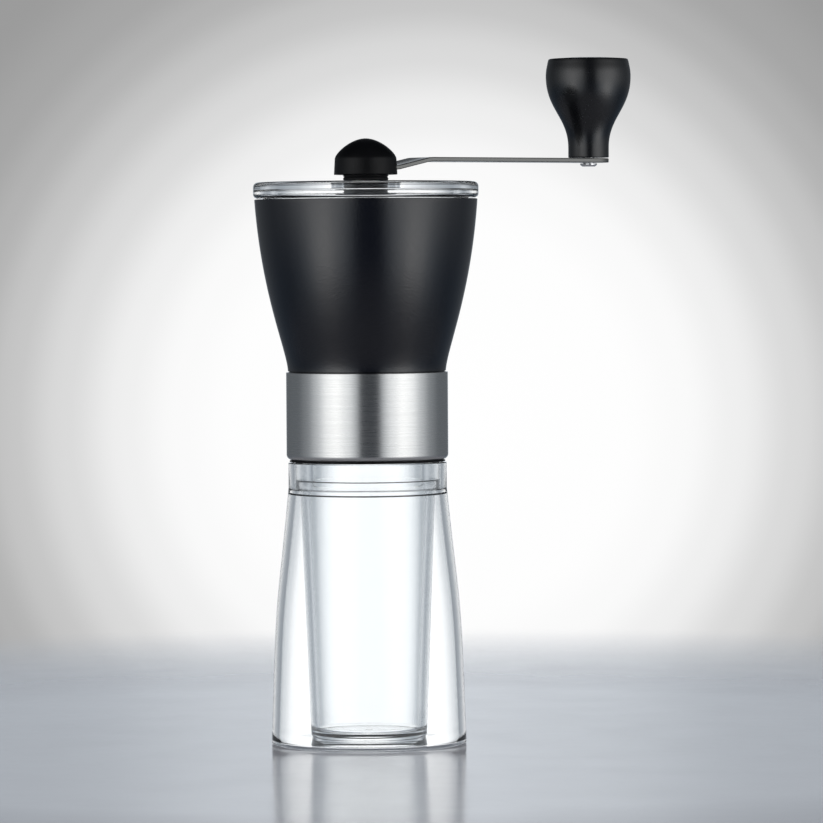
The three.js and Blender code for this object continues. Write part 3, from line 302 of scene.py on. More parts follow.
def ranged(tree, value, low_in, high_in, low_out, high_out):
    """A value stretched from one range to another."""
    node = tree.nodes.new("ShaderNodeMapRange")
    node.inputs["From Min"].default_value = low_in
    node.inputs["From Max"].default_value = high_in
    node.inputs["To Min"].default_value = low_out
    node.inputs["To Max"].default_value = high_out
    tree.links.new(value, node.inputs["Value"])
    return node.outputs["Result"]


def ramp(tree, value, dark, light):
    """A colour between two colours, by a value from 0 to 1."""
    node = tree.nodes.new("ShaderNodeMix")
    node.data_type = "RGBA"
    node.inputs["A"].default_value = (*dark, 1)
    node.inputs["B"].default_value = (*light, 1)
    tree.links.new(value, node.inputs["Factor"])
    return node.outputs["Result"]


def coloured(tree, shader, value, dark, light):
    """Drives the base colour between two colours by a value from 0 to 1."""
    tree.links.new(ramp(tree, value, dark, light), shader.inputs["Base Color"])


def roughened(tree, shader, value, spread, smooth, rough):
    """Drives the roughness from smooth to rough as a noise value crosses its spread."""
    tree.links.new(ranged(tree, value, *spread, smooth, rough), shader.inputs["Roughness"])


def bumped(tree, shader, height, strength, distance, under=None):
    """Tilts the surface by a height texture; a second bump may lie under it."""
    node = tree.nodes.new("ShaderNodeBump")
    node.inputs["Strength"].default_value = strength
    node.inputs["Distance"].default_value = distance
    tree.links.new(height, node.inputs["Height"])
    if under is not None:
        tree.links.new(under, node.inputs["Normal"])
    tree.links.new(node.outputs["Normal"], shader.inputs["Normal"])
    return node.outputs["Normal"]


# %% [markdown]
# ### Clear acrylic
#
# The jar and the lid are thick clear mouldings. Transmission with acrylic's index bends the light, and the
# walls' own shape makes the grey edges and bright lines. A very slight waviness and a few fine wipe marks
# keep it from looking like perfect glass.

# %% Clear acrylic
ACRYLIC_INDEX = 1.49
ACRYLIC_TINT = (0.975, 0.985, 0.99, 1)


def clear_acrylic():
    material, tree, shader = new_finish(
        "clear_acrylic", Base_Color=ACRYLIC_TINT, IOR=ACRYLIC_INDEX, Transmission_Weight=1.0, Roughness=0.0,
    )
    wipes = noise(tree, 60, stretch=(1, 1, 7), detail=3)
    roughened(tree, shader, wipes, (0.45, 0.75), 0.0, 0.035)
    waves = noise(tree, 45, stretch=(1, 1, 0.35), detail=1)
    bumped(tree, shader, waves, 0.05, 0.3 * MM)
    return material


# %% [markdown]
# ### Black plastics
#
# The hopper has a fine spark-eroded grain with a blue tinge, so its highlights are broad and speckled. The
# knob is smoother and shines a little more, while the hub's dome is duller. The collars and the hidden
# mouldings are plain satin black. All of them are nearly black, so what shows is how they reflect: the
# roughness spreads a highlight, and the specular level sets how strong it is.

# %% Black plastics
PLASTIC_INDEX = 1.5
GRAIN_SCALE = 1500


def grained_black():
    """Blue-black with two layers of grain, a coarser one under a fine one."""
    material, tree, shader = new_finish("hopper_black", Specular_IOR_Level=0.6, IOR=PLASTIC_INDEX)
    broad = noise(tree, 30, detail=2)
    coloured(tree, shader, broad, (0.0016, 0.0021, 0.0050), (0.0026, 0.0032, 0.0070))
    fine = noise(tree, GRAIN_SCALE, detail=2, roughness=0.6)
    roughened(tree, shader, fine, MID_SPREAD, 0.18, 0.26)
    under = bumped(tree, shader, noise(tree, 620, detail=2), 0.2, 0.06 * MM)
    bumped(tree, shader, fine, 0.6, 0.05 * MM, under)
    return material


def satin_black(name, base, rough, grain_strength, specular):
    """Black with a faint cloudiness; its roughness wanders a little above the given one."""
    material, tree, shader = new_finish(name, Specular_IOR_Level=specular, IOR=PLASTIC_INDEX)
    light = tuple(c * 1.35 for c in base)
    coloured(tree, shader, noise(tree, 40, detail=3), base, light)
    roughened(tree, shader, noise(tree, 160, detail=3), (0.35, 0.7), rough, rough + 0.07)
    bumped(tree, shader, noise(tree, GRAIN_SCALE, detail=2), grain_strength, 0.02 * MM)
    return material


# %% [markdown]
# ### Brushed steel
#
# Brushing leaves thousands of parallel scratches. They blur reflections across the scratches and leave
# them sharp along the scratches, which is what the anisotropic setting does. The band is brushed round its
# girth, and the arm along its length. Thin stretched noise gives the scratches themselves.

# %% Brushed steel
STEEL_TONE = (0.60, 0.60, 0.59)


def brushed_steel(name, stretch, rough, rotation, tone=STEEL_TONE):
    """Steel whose scratches run along the axes with the smallest numbers in stretch."""
    material, tree, shader = new_finish(name, Metallic=1.0, Anisotropic=0.75, Anisotropic_Rotation=rotation)
    scratches = noise(tree, 1.0, stretch=stretch, detail=5, roughness=0.7)
    light = tuple(min(1.0, c * 1.1) for c in tone)
    coloured(tree, shader, scratches, tone, light)
    roughened(tree, shader, scratches, MID_SPREAD, rough, rough + 0.08)
    bumped(tree, shader, scratches, 0.10, 0.012 * MM)
    tangent = tree.nodes.new("ShaderNodeTangent")
    tangent.direction_type = "RADIAL"
    tangent.axis = "Z"
    tree.links.new(tangent.outputs["Tangent"], shader.inputs["Tangent"])
    return material


def bright_steel():
    material, tree, shader = new_finish("bright_steel", Metallic=1.0)
    turning = noise(tree, 1.0, stretch=(60, 60, 2500), detail=3)
    coloured(tree, shader, turning, (0.60, 0.60, 0.61), (0.72, 0.72, 0.73))
    roughened(tree, shader, turning, MID_SPREAD, 0.16, 0.28)
    bumped(tree, shader, turning, 0.08, 0.01 * MM)
    return material


def wire_steel():
    material, tree, shader = new_finish("wire_steel", Metallic=1.0)
    drawn = noise(tree, 420, detail=4)
    coloured(tree, shader, drawn, (0.40, 0.40, 0.41), (0.55, 0.55, 0.56))
    roughened(tree, shader, drawn, MID_SPREAD, 0.25, 0.42)
    return material


# %% [markdown]
# ### Ceramic and silicone
#
# The burrs are fired ceramic: nearly white, faintly mottled, with a slight sheen on the ground faces. The
# seal is greyish silicone that lets a little light into itself.

# %% Ceramic, silicone and bearing plastic
def fired_ceramic():
    material, tree, shader = new_finish("fired_ceramic", Subsurface_Weight=0.08, Subsurface_Scale=0.6 * MM)
    mottle = noise(tree, 320, detail=5)
    coloured(tree, shader, mottle, (0.74, 0.72, 0.67), (0.85, 0.84, 0.80))
    roughened(tree, shader, mottle, MID_SPREAD, 0.38, 0.58)
    bumped(tree, shader, noise(tree, 1300, detail=3), 0.2, 0.03 * MM)
    return material


def soft_silicone():
    material, tree, shader = new_finish("soft_silicone", Subsurface_Weight=0.3, Subsurface_Scale=1.0 * MM)
    cloud = noise(tree, 110, detail=3)
    coloured(tree, shader, cloud, (0.58, 0.58, 0.56), (0.68, 0.68, 0.66))
    roughened(tree, shader, cloud, MID_SPREAD, 0.55, 0.72)
    bumped(tree, shader, noise(tree, 900, detail=2), 0.15, 0.03 * MM)
    return material


def bearing_plastic():
    material, tree, shader = new_finish("bearing_plastic", Subsurface_Weight=0.1, Subsurface_Scale=0.8 * MM)
    cloud = noise(tree, 200, detail=3)
    coloured(tree, shader, cloud, (0.66, 0.65, 0.60), (0.76, 0.75, 0.70))
    roughened(tree, shader, cloud, MID_SPREAD, 0.35, 0.5)
    return material


# %% [markdown]
# ### Every slot gets its finish
#
# The record names a material slot for each piece. The dome's finish is extra: the dome shares the knob's
# slot, but its surface is duller. The arm's steel gets a darker tone than the band's, a painted shade: its
# flat faces mirror the lights more evenly, and the darker colour stands in for how dim they look.

# %% Finishes on the frame
MOULDED_BLACK = (0.008, 0.008, 0.009)
KNOB_BLACK = (0.0022, 0.0025, 0.0036)
DOME_BLACK = (0.0022, 0.0024, 0.0030)
# Painted shade: a darker copy of the band's steel tone for the arm.
ARM_PAINTED_SHADE_TONE = (0.15, 0.15, 0.145)
BAND_SCRATCHES = (14, 14, 2600)
ARM_SCRATCHES = (22, 2400, 2400)
QUARTER_TURN = 0.25

finishes = {
    "clear_plastic": clear_acrylic(),
    "hopper_plastic": grained_black(),
    "black_plastic": satin_black(
        "moulded_black", MOULDED_BLACK, rough=0.46, grain_strength=0.25, specular=0.22,
    ),
    "knob_plastic": satin_black("knob_black", KNOB_BLACK, rough=0.25, grain_strength=0.12, specular=0.62),
    "dome_plastic": satin_black("dome_black", DOME_BLACK, rough=0.38, grain_strength=0.16, specular=0.20),
    "bearing_plastic": bearing_plastic(),
    "brushed_steel": brushed_steel("band_steel", BAND_SCRATCHES, 0.24, QUARTER_TURN),
    # The arm's steel carries the painted shade tone.
    "arm_steel": brushed_steel("arm_steel", ARM_SCRATCHES, 0.30, 0.0, ARM_PAINTED_SHADE_TONE),
    "bright_steel": bright_steel(),
    "spring_steel": wire_steel(),
    "ceramic": fired_ceramic(),
    "seal": soft_silicone(),
}
slot_of = {row["node"]: row["material_slot"] for row in frame["record"]["subparts"]}
bodies = frame["record"]["behaviour"]["bodies"]
body_of = {node: body for body, nodes in bodies.items() for node in nodes}
for node, item in frame["nodes"].items():
    item.data.materials.clear()
    item.data.materials.append(finishes[slot_of[node]])
print(len(finishes), "finishes on", len(slot_of), "frame nodes")

# %% [markdown]
# A fine piece takes over a frame node. It rides on the node's body, replaces the node, and carries the
# node's slot, so the part still moves and exports as the record says.

# %% Fit a fine piece in a node's place
def stands_for(piece, node):
    """The piece takes the node's finish, body and place in the record."""
    piece.data.materials.append(finishes[slot_of[node]])
    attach(piece, body_of[node])
    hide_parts(node)
    return piece


# %% [markdown]
# ## The jar's shell
#
# The outer wall swells from the neck to the foot in one soft curve. We sweep a closed outline: up the
# outside, over the neck, down the bore to the ledge that carries the cup, and down the inside.

# %% Jar shell
SHELL_WALL = 2.5 * MM
FOOT_ROUND = 1.3 * MM
LEDGE_DEPTH = 9.5 * MM
LEDGE_THICKNESS = 1.4 * MM
ledge_top = shell_top - LEDGE_DEPTH
ledge_bottom = ledge_top - LEDGE_THICKNESS
ledge_bore = radii_at("jar_shell", ledge_top)[0]
base_top = high("jar_base")
foot_bore = reach("jar_base") + 0.35 * MM


def jar_side(inset, bottom, top, steps):
    """The jar's swelling side: a cubic from foot to neck, drawn in by the wall for the inner face."""
    foot = (foot_radius - inset, bottom)
    neck = (neck_radius - inset, top)
    rise = top - bottom
    spread = foot[0] - neck[0]
    lower = (foot[0] - spread * 0.27, bottom + rise * 0.64)
    upper = (neck[0] + spread * 0.69, top - rise * 0.51)
    return bezier(foot, lower, upper, neck, steps)


jar_shell = turned_piece("jar_shell_fine", outline(
    (foot_radius, 0, FOOT_ROUND),
    jar_side(0, 1.6 * MM, ledge_top + 0.8 * MM, 60),
    (neck_radius, shell_top, 0.3 * MM),
    (neck_bore, shell_top, 0.2 * MM),
    (neck_bore, ledge_top, 0.3 * MM),
    (ledge_bore, ledge_top, 0.2 * MM),
    (ledge_bore, ledge_bottom, 0.25 * MM),
    jar_side(SHELL_WALL, base_top + 0.6 * MM, ledge_bottom - 0.4 * MM, 50)[::-1],
    (foot_bore, base_top + 0.3 * MM, 0.1 * MM),
    (foot_bore, 0, 0.2 * MM),
), sides=160)
stands_for(jar_shell, "jar_shell")

# %% [markdown]
# ## The base disc
#
# A thin clear disc closes the shell. Its rounded rim gives the bright ring at the jar's foot.

# %% Base disc
base_radius = foot_bore - 0.08 * MM
jar_base = turned_piece("jar_base_fine", outline(
    (0, 0),
    (base_radius, 0, 0.25 * MM),
    (base_radius, base_top, 0.25 * MM),
    (0, base_top),
), closed=False, sides=160)
stands_for(jar_base, "jar_base")

# %% [markdown]
# ## The cup
#
# The inner cup holds the ground coffee. Its collar rests on the shell's ledge, and its neck carries a
# screw thread. The thread is a ridge that climbs one pitch in each turn, so we add it to the neck's radius:
# at angle a and height z the ridge's phase is z minus pitch times a / one turn.

# %% Cup
THREAD_PITCH = 4 * MM
THREAD_DEPTH = 1.3 * MM
HALF_ROOT = 1.15 * MM
HALF_CREST = 0.55 * MM
FADE_PER_TURN = 6
CUP_WALL = 2.7 * MM
FLOOR_THICKNESS = 2.4 * MM
SEAT_GAP = 0.3 * MM
cup_low = low("jar_cup")
cup_top = high("jar_cup")
neck_inner, cup_neck = radii_at("jar_cup", cup_top)[[0, -1]]
collar_edge = reach("jar_cup")
cup_foot = radii_at("jar_cup", cup_low)[-1]
cup_side = ledge_bore - 0.4 * MM
cup_seat = ledge_top + SEAT_GAP
cup_floor = cup_low + FLOOR_THICKNESS


def ridge(phase):
    """Height share of a thread: 1 on the crest, falling in a straight flank to 0 at the root."""
    return np.clip((HALF_ROOT - np.abs(phase)) / (HALF_ROOT - HALF_CREST), 0, 1)


def with_thread(points, wall_radius, start, turns, outward):
    """Adds a helical ridge to the grid points that lie on a cylindrical wall.

    The ridge fades in and out over a sixth of a turn, and only touches points on the wall.
    """
    radius = np.hypot(points[..., 0], points[..., 1])
    angle = np.mod(np.arctan2(points[..., 1], points[..., 0]), TURN)
    on_wall = np.abs(radius - wall_radius) < SAME_PLACE
    grown = np.zeros_like(radius)
    for turn in range(math.ceil(turns) + 1):
        along = turn + angle / TURN
        phase = points[..., 2] - start - THREAD_PITCH * along
        fade = np.clip(np.minimum(along, turns - along) * FADE_PER_TURN, 0, 1)
        grown = np.maximum(grown, ridge(phase) * fade)
    moved = radius + outward * THREAD_DEPTH * grown * on_wall
    scale = np.where(radius > 0, moved / np.maximum(radius, 1e-9), 1)
    points[..., 0] *= scale
    points[..., 1] *= scale
    return points


def wall_rows(radius, bottom, top, spacing=0.16 * MM):
    """Closely spaced rows up a cylindrical wall, so that a thread can be raised on it."""
    z = np.linspace(bottom, top, int(abs(top - bottom) / spacing))
    return np.stack([np.full_like(z, radius), z], axis=1)


cup_outline = rounded(outline(
    (0, cup_low),
    (cup_foot, cup_low, 1.2 * MM),
    (cup_side, ledge_bottom, 1.0 * MM),
    (cup_side, cup_seat, 0.3 * MM),
    (collar_edge, cup_seat, 0.3 * MM),
    (collar_edge, shell_top, 0.3 * MM),
    (cup_neck, shell_top, 0.3 * MM),
    wall_rows(cup_neck, shell_top + 0.5 * MM, cup_top - 0.5 * MM),
    (cup_neck, cup_top, 0.3 * MM),
    (neck_inner, cup_top, 0.3 * MM),
    (neck_inner, ledge_top + 3.2 * MM, 0.3 * MM),
    (neck_inner + 0.35 * MM, ledge_top + 2.9 * MM, 0.3 * MM),
    (cup_side - CUP_WALL - 0.4 * MM, ledge_top - 0.6 * MM, 1.5 * MM),
    (cup_foot - CUP_WALL, cup_floor, 1.6 * MM),
    (1.3 * MM, cup_floor, 0.2 * MM),
    (1.1 * MM, cup_floor + 0.25 * MM, 0.15 * MM),
    (0, cup_floor + 0.25 * MM),
), closed=False)
cup_points = with_thread(
    revolved(cup_outline, 160), cup_neck, start=shell_top + 2.2 * MM, turns=2, outward=1,
)
jar_cup = grid_piece("jar_cup_fine", cup_points)
stands_for(jar_cup, "jar_cup")

# %% [markdown]
# ## Seal and screw collar
#
# The silicone ring has soft edges. The black collar carries the matching inner thread and ends in the thin
# lip that shows as a dark line under the steel band.

# %% Seal and collar
COLLAR_LEDGE = 1.5 * MM
WAIST_DEPTH = 1.2 * MM
LIP_HEIGHT = 0.4 * MM
seal_low, seal_high = low("neck_seal"), high("neck_seal")
seal_in, seal_out = radii_at("neck_seal", seal_low)[[0, -1]]
neck_seal = turned_piece("neck_seal_fine", outline(
    (seal_out, seal_low, 0.5 * MM),
    (seal_out, seal_high, 0.5 * MM),
    (seal_in, seal_high, 0.5 * MM),
    (seal_in, seal_low, 0.5 * MM),
))
stands_for(neck_seal, "neck_seal")

collar_low, collar_high = low("thread_collar"), high("thread_collar")
collar_radius = reach("thread_collar")
collar_bore = radii_at("thread_collar", collar_low)[0]
ledge_in = radii_at("thread_collar", collar_high)[0]
ledge_under = collar_high - COLLAR_LEDGE
collar_waist = collar_radius - WAIST_DEPTH
lip_top = collar_low + LIP_HEIGHT
collar_outline = rounded(outline(
    (collar_radius, collar_low, 0.15 * MM),
    (collar_radius, lip_top, 0.1 * MM),
    (collar_waist, lip_top, 0.1 * MM),
    (collar_waist, collar_low + 2.3 * MM, 0.2 * MM),
    (collar_radius, collar_low + 2.9 * MM, 0.2 * MM),
    (collar_radius, collar_high, 0.2 * MM),
    (ledge_in, collar_high, 0.3 * MM),
    (ledge_in, ledge_under, 0.3 * MM),
    (collar_bore, ledge_under, 0.3 * MM),
    wall_rows(collar_bore, ledge_under - 0.6 * MM, collar_low + 0.6 * MM),
    (collar_bore, collar_low, 0.4 * MM),
), closed=True)
collar_points = with_thread(
    revolved(collar_outline, 160), collar_bore, start=shell_top + 4.2 * MM, turns=1.25, outward=-1,
)
thread_collar = grid_piece("thread_collar_fine", collar_points, wrap_rows=True)
stands_for(thread_collar, "thread_collar")

# %% [markdown]
# ## The steel band
#
# A drawn sleeve, a little proud of the jar and the hopper. Its upper edge is only broken, and its lower
# edge is rolled in, which catches a thin bright line above the dark lip.

# %% Steel band
band_low, band_high = low("steel_band"), high("steel_band")
band_radius = reach("steel_band")
BAND_WALL = 0.7 * MM
ROLL = 1.9 * MM
ROLL_SWEEP = 82
ROLL_DROP = 0.03 * MM
roll_angle = np.radians(np.linspace(-ROLL_SWEEP, 0, 20))[:, None]
roll_centre = np.array([band_radius - ROLL, band_low - ROLL_DROP + ROLL])
roll_ray = np.hstack([np.cos(roll_angle), np.sin(roll_angle)])
steel_band = turned_piece("steel_band_fine", outline(
    roll_centre + roll_ray * ROLL,
    (band_radius, band_high, 0.22 * MM),
    (band_radius - BAND_WALL, band_high, 0.15 * MM),
    (roll_centre + roll_ray * (ROLL - BAND_WALL))[::-1],
), sides=192)
stands_for(steel_band, "steel_band")

# %% [markdown]
# ## The hopper
#
# The bowl flares in an S-curve from its waist to its rim. Inside, a funnel floor leads to the throat, and a
# three-armed spider carries the shaft's bearing. The bowl is one swept outline. The spider's arms are
# separate rounded bars that run into its wall.

# %% Hopper
HOPPER_WALL = 2.4 * MM
SHELF_RISE = 8.4 * MM
SHELF_THICKNESS = 3.7 * MM
hopper_low, hopper_high = low("hopper"), high("hopper")
rim_radius = reach("hopper")
waist_low = band_high + 0.3 * MM
skirt_bore = radii_at("hopper", hopper_low)[0]
waist = radii_at("hopper", waist_low)[-1]
shelf_low = hopper_low + SHELF_RISE
shelf_high = shelf_low + SHELF_THICKNESS
throat = radii_at("hopper", shelf_low)[0]


def hopper_side(inset, bottom, steps):
    """The bowl's S-curve: a cubic from waist to rim, drawn in by the wall for the inner face."""
    rise = hopper_high - bottom
    foot = (waist - inset, bottom)
    rim = (rim_radius - inset, hopper_high - 0.5 * MM)
    spread = rim[0] - foot[0]
    lower = (foot[0] + spread * 0.04, bottom + rise * 0.13)
    upper = (rim[0] - spread * 0.21, hopper_high - rise * 0.565)
    return bezier(foot, lower, upper, rim, steps)


hopper = turned_piece("hopper_fine", outline(
    (collar_radius, hopper_low, 0.3 * MM),
    (collar_radius, waist_low, 0.1 * MM),
    hopper_side(0, waist_low + 0.1 * MM, 70),
    (rim_radius, hopper_high, 0.45 * MM),
    (rim_radius - HOPPER_WALL, hopper_high, 0.45 * MM),
    hopper_side(HOPPER_WALL, shelf_high + 4.5 * MM, 50)[::-1],
    (throat + 2 * MM, shelf_high, 1.5 * MM),
    (throat, shelf_high - 1.2 * MM, 0.5 * MM),
    (throat, shelf_low, 0.3 * MM),
    (skirt_bore, shelf_low, 0.4 * MM),
    (skirt_bore, hopper_low, 0.3 * MM),
), sides=192)
stands_for(hopper, "hopper")

# %% [markdown]
# The spider: a hub for the bearing, and three arms whose ends fade into the bowl's wall.

# %% Spider
HUB_HEIGHT = 10 * MM
HUB_WALL = 2.2 * MM
ARM_WIDTH = 4 * MM
ARM_HEIGHT = 6 * MM
ARM_COUNT = 3
ARM_SIDES = 48
ARM_ROWS = 12
SQUARENESS = 0.28
hub_low = low("shaft_bushing")
bearing_radius = radii_at("shaft_bushing", hub_low)[-1]
hub_high = hub_low + HUB_HEIGHT
hub_inside = bearing_radius + 0.4 * MM
hub_outside = hub_inside + HUB_WALL
spider_hub = turned_piece("spider_hub", outline(
    (hub_outside, hub_low, 0.5 * MM),
    (hub_outside, hub_high, 0.6 * MM),
    (hub_inside, hub_high, 0.3 * MM),
    (hub_inside, hub_low, 0.3 * MM),
), sides=64)
side_heights = hopper_side(HOPPER_WALL * 0.7, waist_low, 80)


def spider_arm(name, angle):
    """A bar from hub to wall, with its outer end following the bowl at each height.

    Its section is a superellipse: cosine and sine of the angle, each raised to a small power.
    """
    around = np.arange(ARM_SIDES) * TURN / ARM_SIDES
    across = np.sign(np.cos(around)) * np.abs(np.cos(around)) ** SQUARENESS * ARM_WIDTH / 2
    upward = np.sign(np.sin(around)) * np.abs(np.sin(around)) ** SQUARENESS * ARM_HEIGHT / 2
    z = hub_low + ARM_HEIGHT / 2 + upward
    outer = np.interp(z, side_heights[:, 1], side_heights[:, 0])
    inner = hub_inside + 0.6 * MM
    share = np.linspace(0, 1, ARM_ROWS)[:, None]
    x = inner + (outer - inner) * share
    y = np.repeat(across[None], ARM_ROWS, axis=0)
    bar = np.stack([x, y, np.repeat(z[None], ARM_ROWS, axis=0)], axis=-1)
    start = np.repeat(bar[:1].mean(axis=1, keepdims=True), ARM_SIDES, axis=1)
    end = np.repeat(bar[-1:].mean(axis=1, keepdims=True), ARM_SIDES, axis=1)
    points = np.concatenate([start, bar, end])
    turned = np.array([[math.cos(angle), -math.sin(angle)], [math.sin(angle), math.cos(angle)]])
    points[..., :2] = points[..., :2] @ turned.T
    return grid_piece(name, points)


spider_pieces = [spider_hub]
for number in range(ARM_COUNT):
    spider_pieces.append(spider_arm(f"spider_arm_{number + 1}", math.pi + number * TURN / ARM_COUNT))
for piece in spider_pieces:
    piece.data.materials.append(finishes["hopper_plastic"])
    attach(piece, "mill")

# %% [markdown]
# ## The lid
#
# A thick clear ring with a rounded edge, a thinner plate in the middle, and a skirt that drops into the
# hopper. The round edge and the steps make the bands of light and dark in it.

# %% Lid
RING_WIDTH = 8.1 * MM
PLATE_THICKNESS = 2.6 * MM
lid_low, lid_high = low("lid"), high("lid")
lid_radius = reach("lid")
lid_under = hopper_high + 0.3 * MM
lid_hole = radii_at("lid", lid_high)[0]
skirt_in, skirt_out = radii_at("lid", lid_low)[[0, -1]]
ring_bore = lid_radius - RING_WIDTH
ring_low = lid_under + 0.6 * MM
plate_low = lid_high - PLATE_THICKNESS
lid = turned_piece("lid_fine", outline(
    (skirt_out, lid_low, 0.4 * MM),
    (skirt_out, lid_under, 0.2 * MM),
    (lid_radius, lid_under, 1.5 * MM),
    (lid_radius, lid_high, 1.7 * MM),
    (lid_hole, lid_high, 0.35 * MM),
    (lid_hole, plate_low, 0.35 * MM),
    (ring_bore, plate_low, 0.8 * MM),
    (ring_bore, ring_low, 0.6 * MM),
    (skirt_in, ring_low, 0.4 * MM),
    (skirt_in, lid_low, 0.4 * MM),
), sides=192)
stands_for(lid, "lid")

# %% [markdown]
# ## The crank's hub
#
# A ringed collar reaches down through the lid, and a smooth dome covers the arm's end. The rings are what
# narrow grooves leave: a high power of a sine, taken off the collar's radius, is near zero except in narrow
# bands. The dome is a straight skirt that rolls over into a soft cone.

# %% Hub collar and dome
socket_low, socket_high = low("hub_socket"), high("hub_socket")
dome_low, dome_high = low("hub_dome"), high("hub_dome")
dome_radius = reach("hub_dome")
collar_out = radii_at("hub_socket", socket_low)[-1]
bore_reach = radii_at("hub_socket", socket_low)[0]
RING_COUNT = 5
GROOVE_DEPTH = 0.32 * MM
GROOVE_POWER = 6
COLLAR_FLANGE = 0.9 * MM
FLANGE_DROP = 3.8 * MM
ring_height = np.linspace(socket_low + 0.5 * MM, dome_low - 0.2 * MM, 90)
ring_phase = (ring_height - ring_height[0]) / (ring_height[-1] - ring_height[0]) * RING_COUNT
ring_wave = collar_out - GROOVE_DEPTH * np.abs(np.sin(math.pi * ring_phase)) ** GROOVE_POWER
flange_out = collar_out + COLLAR_FLANGE
flange_high = socket_high - FLANGE_DROP
hub_collar = turned_piece("hub_collar", outline(
    (collar_out, socket_low, 0.4 * MM),
    np.stack([ring_wave, ring_height], axis=1),
    (flange_out, dome_low + 0.1 * MM, 0.05 * MM),
    (flange_out, flange_high, 0.1 * MM),
    (bore_reach, flange_high, 0.1 * MM),
    (bore_reach, socket_low, 0.3 * MM),
), sides=96)
stands_for(hub_collar, "hub_socket")

dome_side = dome_radius - 0.3 * MM
dome_shoulder = dome_low + 5.6 * MM
dome_crown = bezier(
    (dome_side, dome_shoulder), (dome_side - 0.3 * MM, dome_shoulder + 2.2 * MM),
    (dome_side * 0.47, dome_high), (0, dome_high), 40,
)
dome_roof = dome_low + 1.0 * MM
dome_bore = collar_out + 1.2 * MM
hub_dome = turned_piece("hub_dome_fine", outline(
    (0, dome_roof),
    (dome_bore, dome_roof, 0.1 * MM),
    (dome_bore, dome_low, 0.15 * MM),
    (dome_radius, dome_low, 0.25 * MM),
    dome_crown,
), closed=False, sides=128)
stands_for(hub_dome, "hub_dome")
hub_dome.data.materials[0] = finishes["dome_plastic"]
print("dome", round(dome_radius / MM, 2), "mm radius,", round((dome_high - dome_low) / MM, 2), "mm high")

# %% [markdown]
# ## The arm
#
# A flat steel bar with round ends, bent up once and down once. Its plan is a stadium: two half circles
# joined by straight sides. For each point of that outline we walk across the bar, from the line under its
# middle, round its softened edge, to the line on top. The bend lifts each point by a smooth step in x.

# %% Crank arm
arm_low, arm_high = low("crank_arm"), high("crank_arm")
arm_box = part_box("crank_arm")
arm_half = (arm_box[1].y - arm_box[0].y) / 2
crank_radius = arm_box[1].x - arm_half
ARM_THICK = 1.5 * MM
EDGE = 0.3 * MM
arm_rise = arm_high - arm_low - ARM_THICK
BEND_START = 9.2 * MM
BEND_END = 23 * MM
BEND_SOFT = 2.2 * MM


def soft_corner(x, at, width):
    """A ramp that starts at a bend: 0 before, x - at after, a parabola across the bend's width."""
    middle = np.clip(x - at + width / 2, 0, width)
    return np.where(x > at + width / 2, x - at, middle**2 / (2 * width))


def arm_height(x):
    """Height of the bar's underside: level, then a straight rise, then level again."""
    slope = arm_rise / (BEND_END - BEND_START)
    climb = soft_corner(x, BEND_START, BEND_SOFT) - soft_corner(x, BEND_END, BEND_SOFT)
    return arm_low + slope * climb


def stadium(half, length, straight_steps=90, arc_steps=40):
    """Outline points and outward normals of a bar with round ends, from hub to tip and back."""
    tip = np.linspace(-math.pi / 2, math.pi / 2, arc_steps)
    hub = np.linspace(math.pi / 2, 3 * math.pi / 2, arc_steps)
    run = np.linspace(0, length, straight_steps)[1:-1]
    normals = np.concatenate([
        np.stack([np.cos(tip), np.sin(tip)], axis=1),
        np.tile([0.0, 1.0], (run.size, 1)),
        np.stack([np.cos(hub), np.sin(hub)], axis=1),
        np.tile([0.0, -1.0], (run.size, 1)),
    ])
    spine_x = np.concatenate([np.full(arc_steps, length), run[::-1], np.zeros(arc_steps), run])
    spine = np.stack([spine_x, np.zeros_like(spine_x)], axis=1)
    return spine, normals


spine, normals = stadium(arm_half, crank_radius)
flat_half = arm_half - EDGE
edge_arc = np.linspace(0, math.pi / 2, 6)
edge_sin = EDGE * np.sin(edge_arc)
edge_cos = EDGE * np.cos(edge_arc)
under = np.stack([flat_half + edge_sin, EDGE - edge_cos], axis=1)
over = np.stack([flat_half + edge_cos, ARM_THICK - EDGE + edge_sin], axis=1)
inward = np.linspace(0, flat_half, 5)[:-1]
section = np.concatenate([
    np.stack([inward, np.zeros_like(inward)], axis=1),
    under,
    over,
    np.stack([inward[::-1], np.full_like(inward, ARM_THICK)], axis=1),
])
plan = spine[None] + normals[None] * section[:, 0][:, None, None]
lift = arm_height(plan[..., 0]) + section[:, 1][:, None]
arm_points = np.concatenate([plan, lift[..., None]], axis=-1)
crank_arm = grid_piece("crank_arm_fine", arm_points)
stands_for(crank_arm, "crank_arm")

# %% [markdown]
# ## The knob
#
# The knob is turned: a slim stem flares to a wide head with a soft top edge. It runs on a shoulder rivet
# whose bright head shows under the arm, and a plug covers the rivet's other end.

# %% Knob
knob_low, knob_high = low("knob_body"), high("knob_cap")
knob_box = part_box("knob_body")
knob_centre = (knob_box[0].x + knob_box[1].x) / 2
knob_radius = (knob_box[1].y - knob_box[0].y) / 2
stem_radius = radii_at("knob_body", knob_low, knob_centre)[-1]
recess_radius = radii_at("knob_body", knob_low, knob_centre)[0]
CAP_RADIUS = 8.0 * MM
SEAM = 0.12 * MM
STEM = 3.6 * MM
WIDEST = 29.2 * MM
SIDE_TOP = 34.6 * MM
TAPER = 0.75 * MM
knob_flare = bezier(
    (stem_radius, knob_low + STEM), (stem_radius, knob_low + STEM + 11 * MM),
    (knob_radius, knob_low + WIDEST - 11.8 * MM), (knob_radius, knob_low + WIDEST), 50,
)
knob_upper = bezier(
    (knob_radius, knob_low + WIDEST), (knob_radius, knob_low + WIDEST + 2.4 * MM),
    (knob_radius - TAPER * 0.6, knob_low + SIDE_TOP - 1.6 * MM),
    (knob_radius - TAPER, knob_low + SIDE_TOP), 14,
)[1:]
knob_rim = knob_high - 0.5 * MM
seam_radius = CAP_RADIUS + SEAM
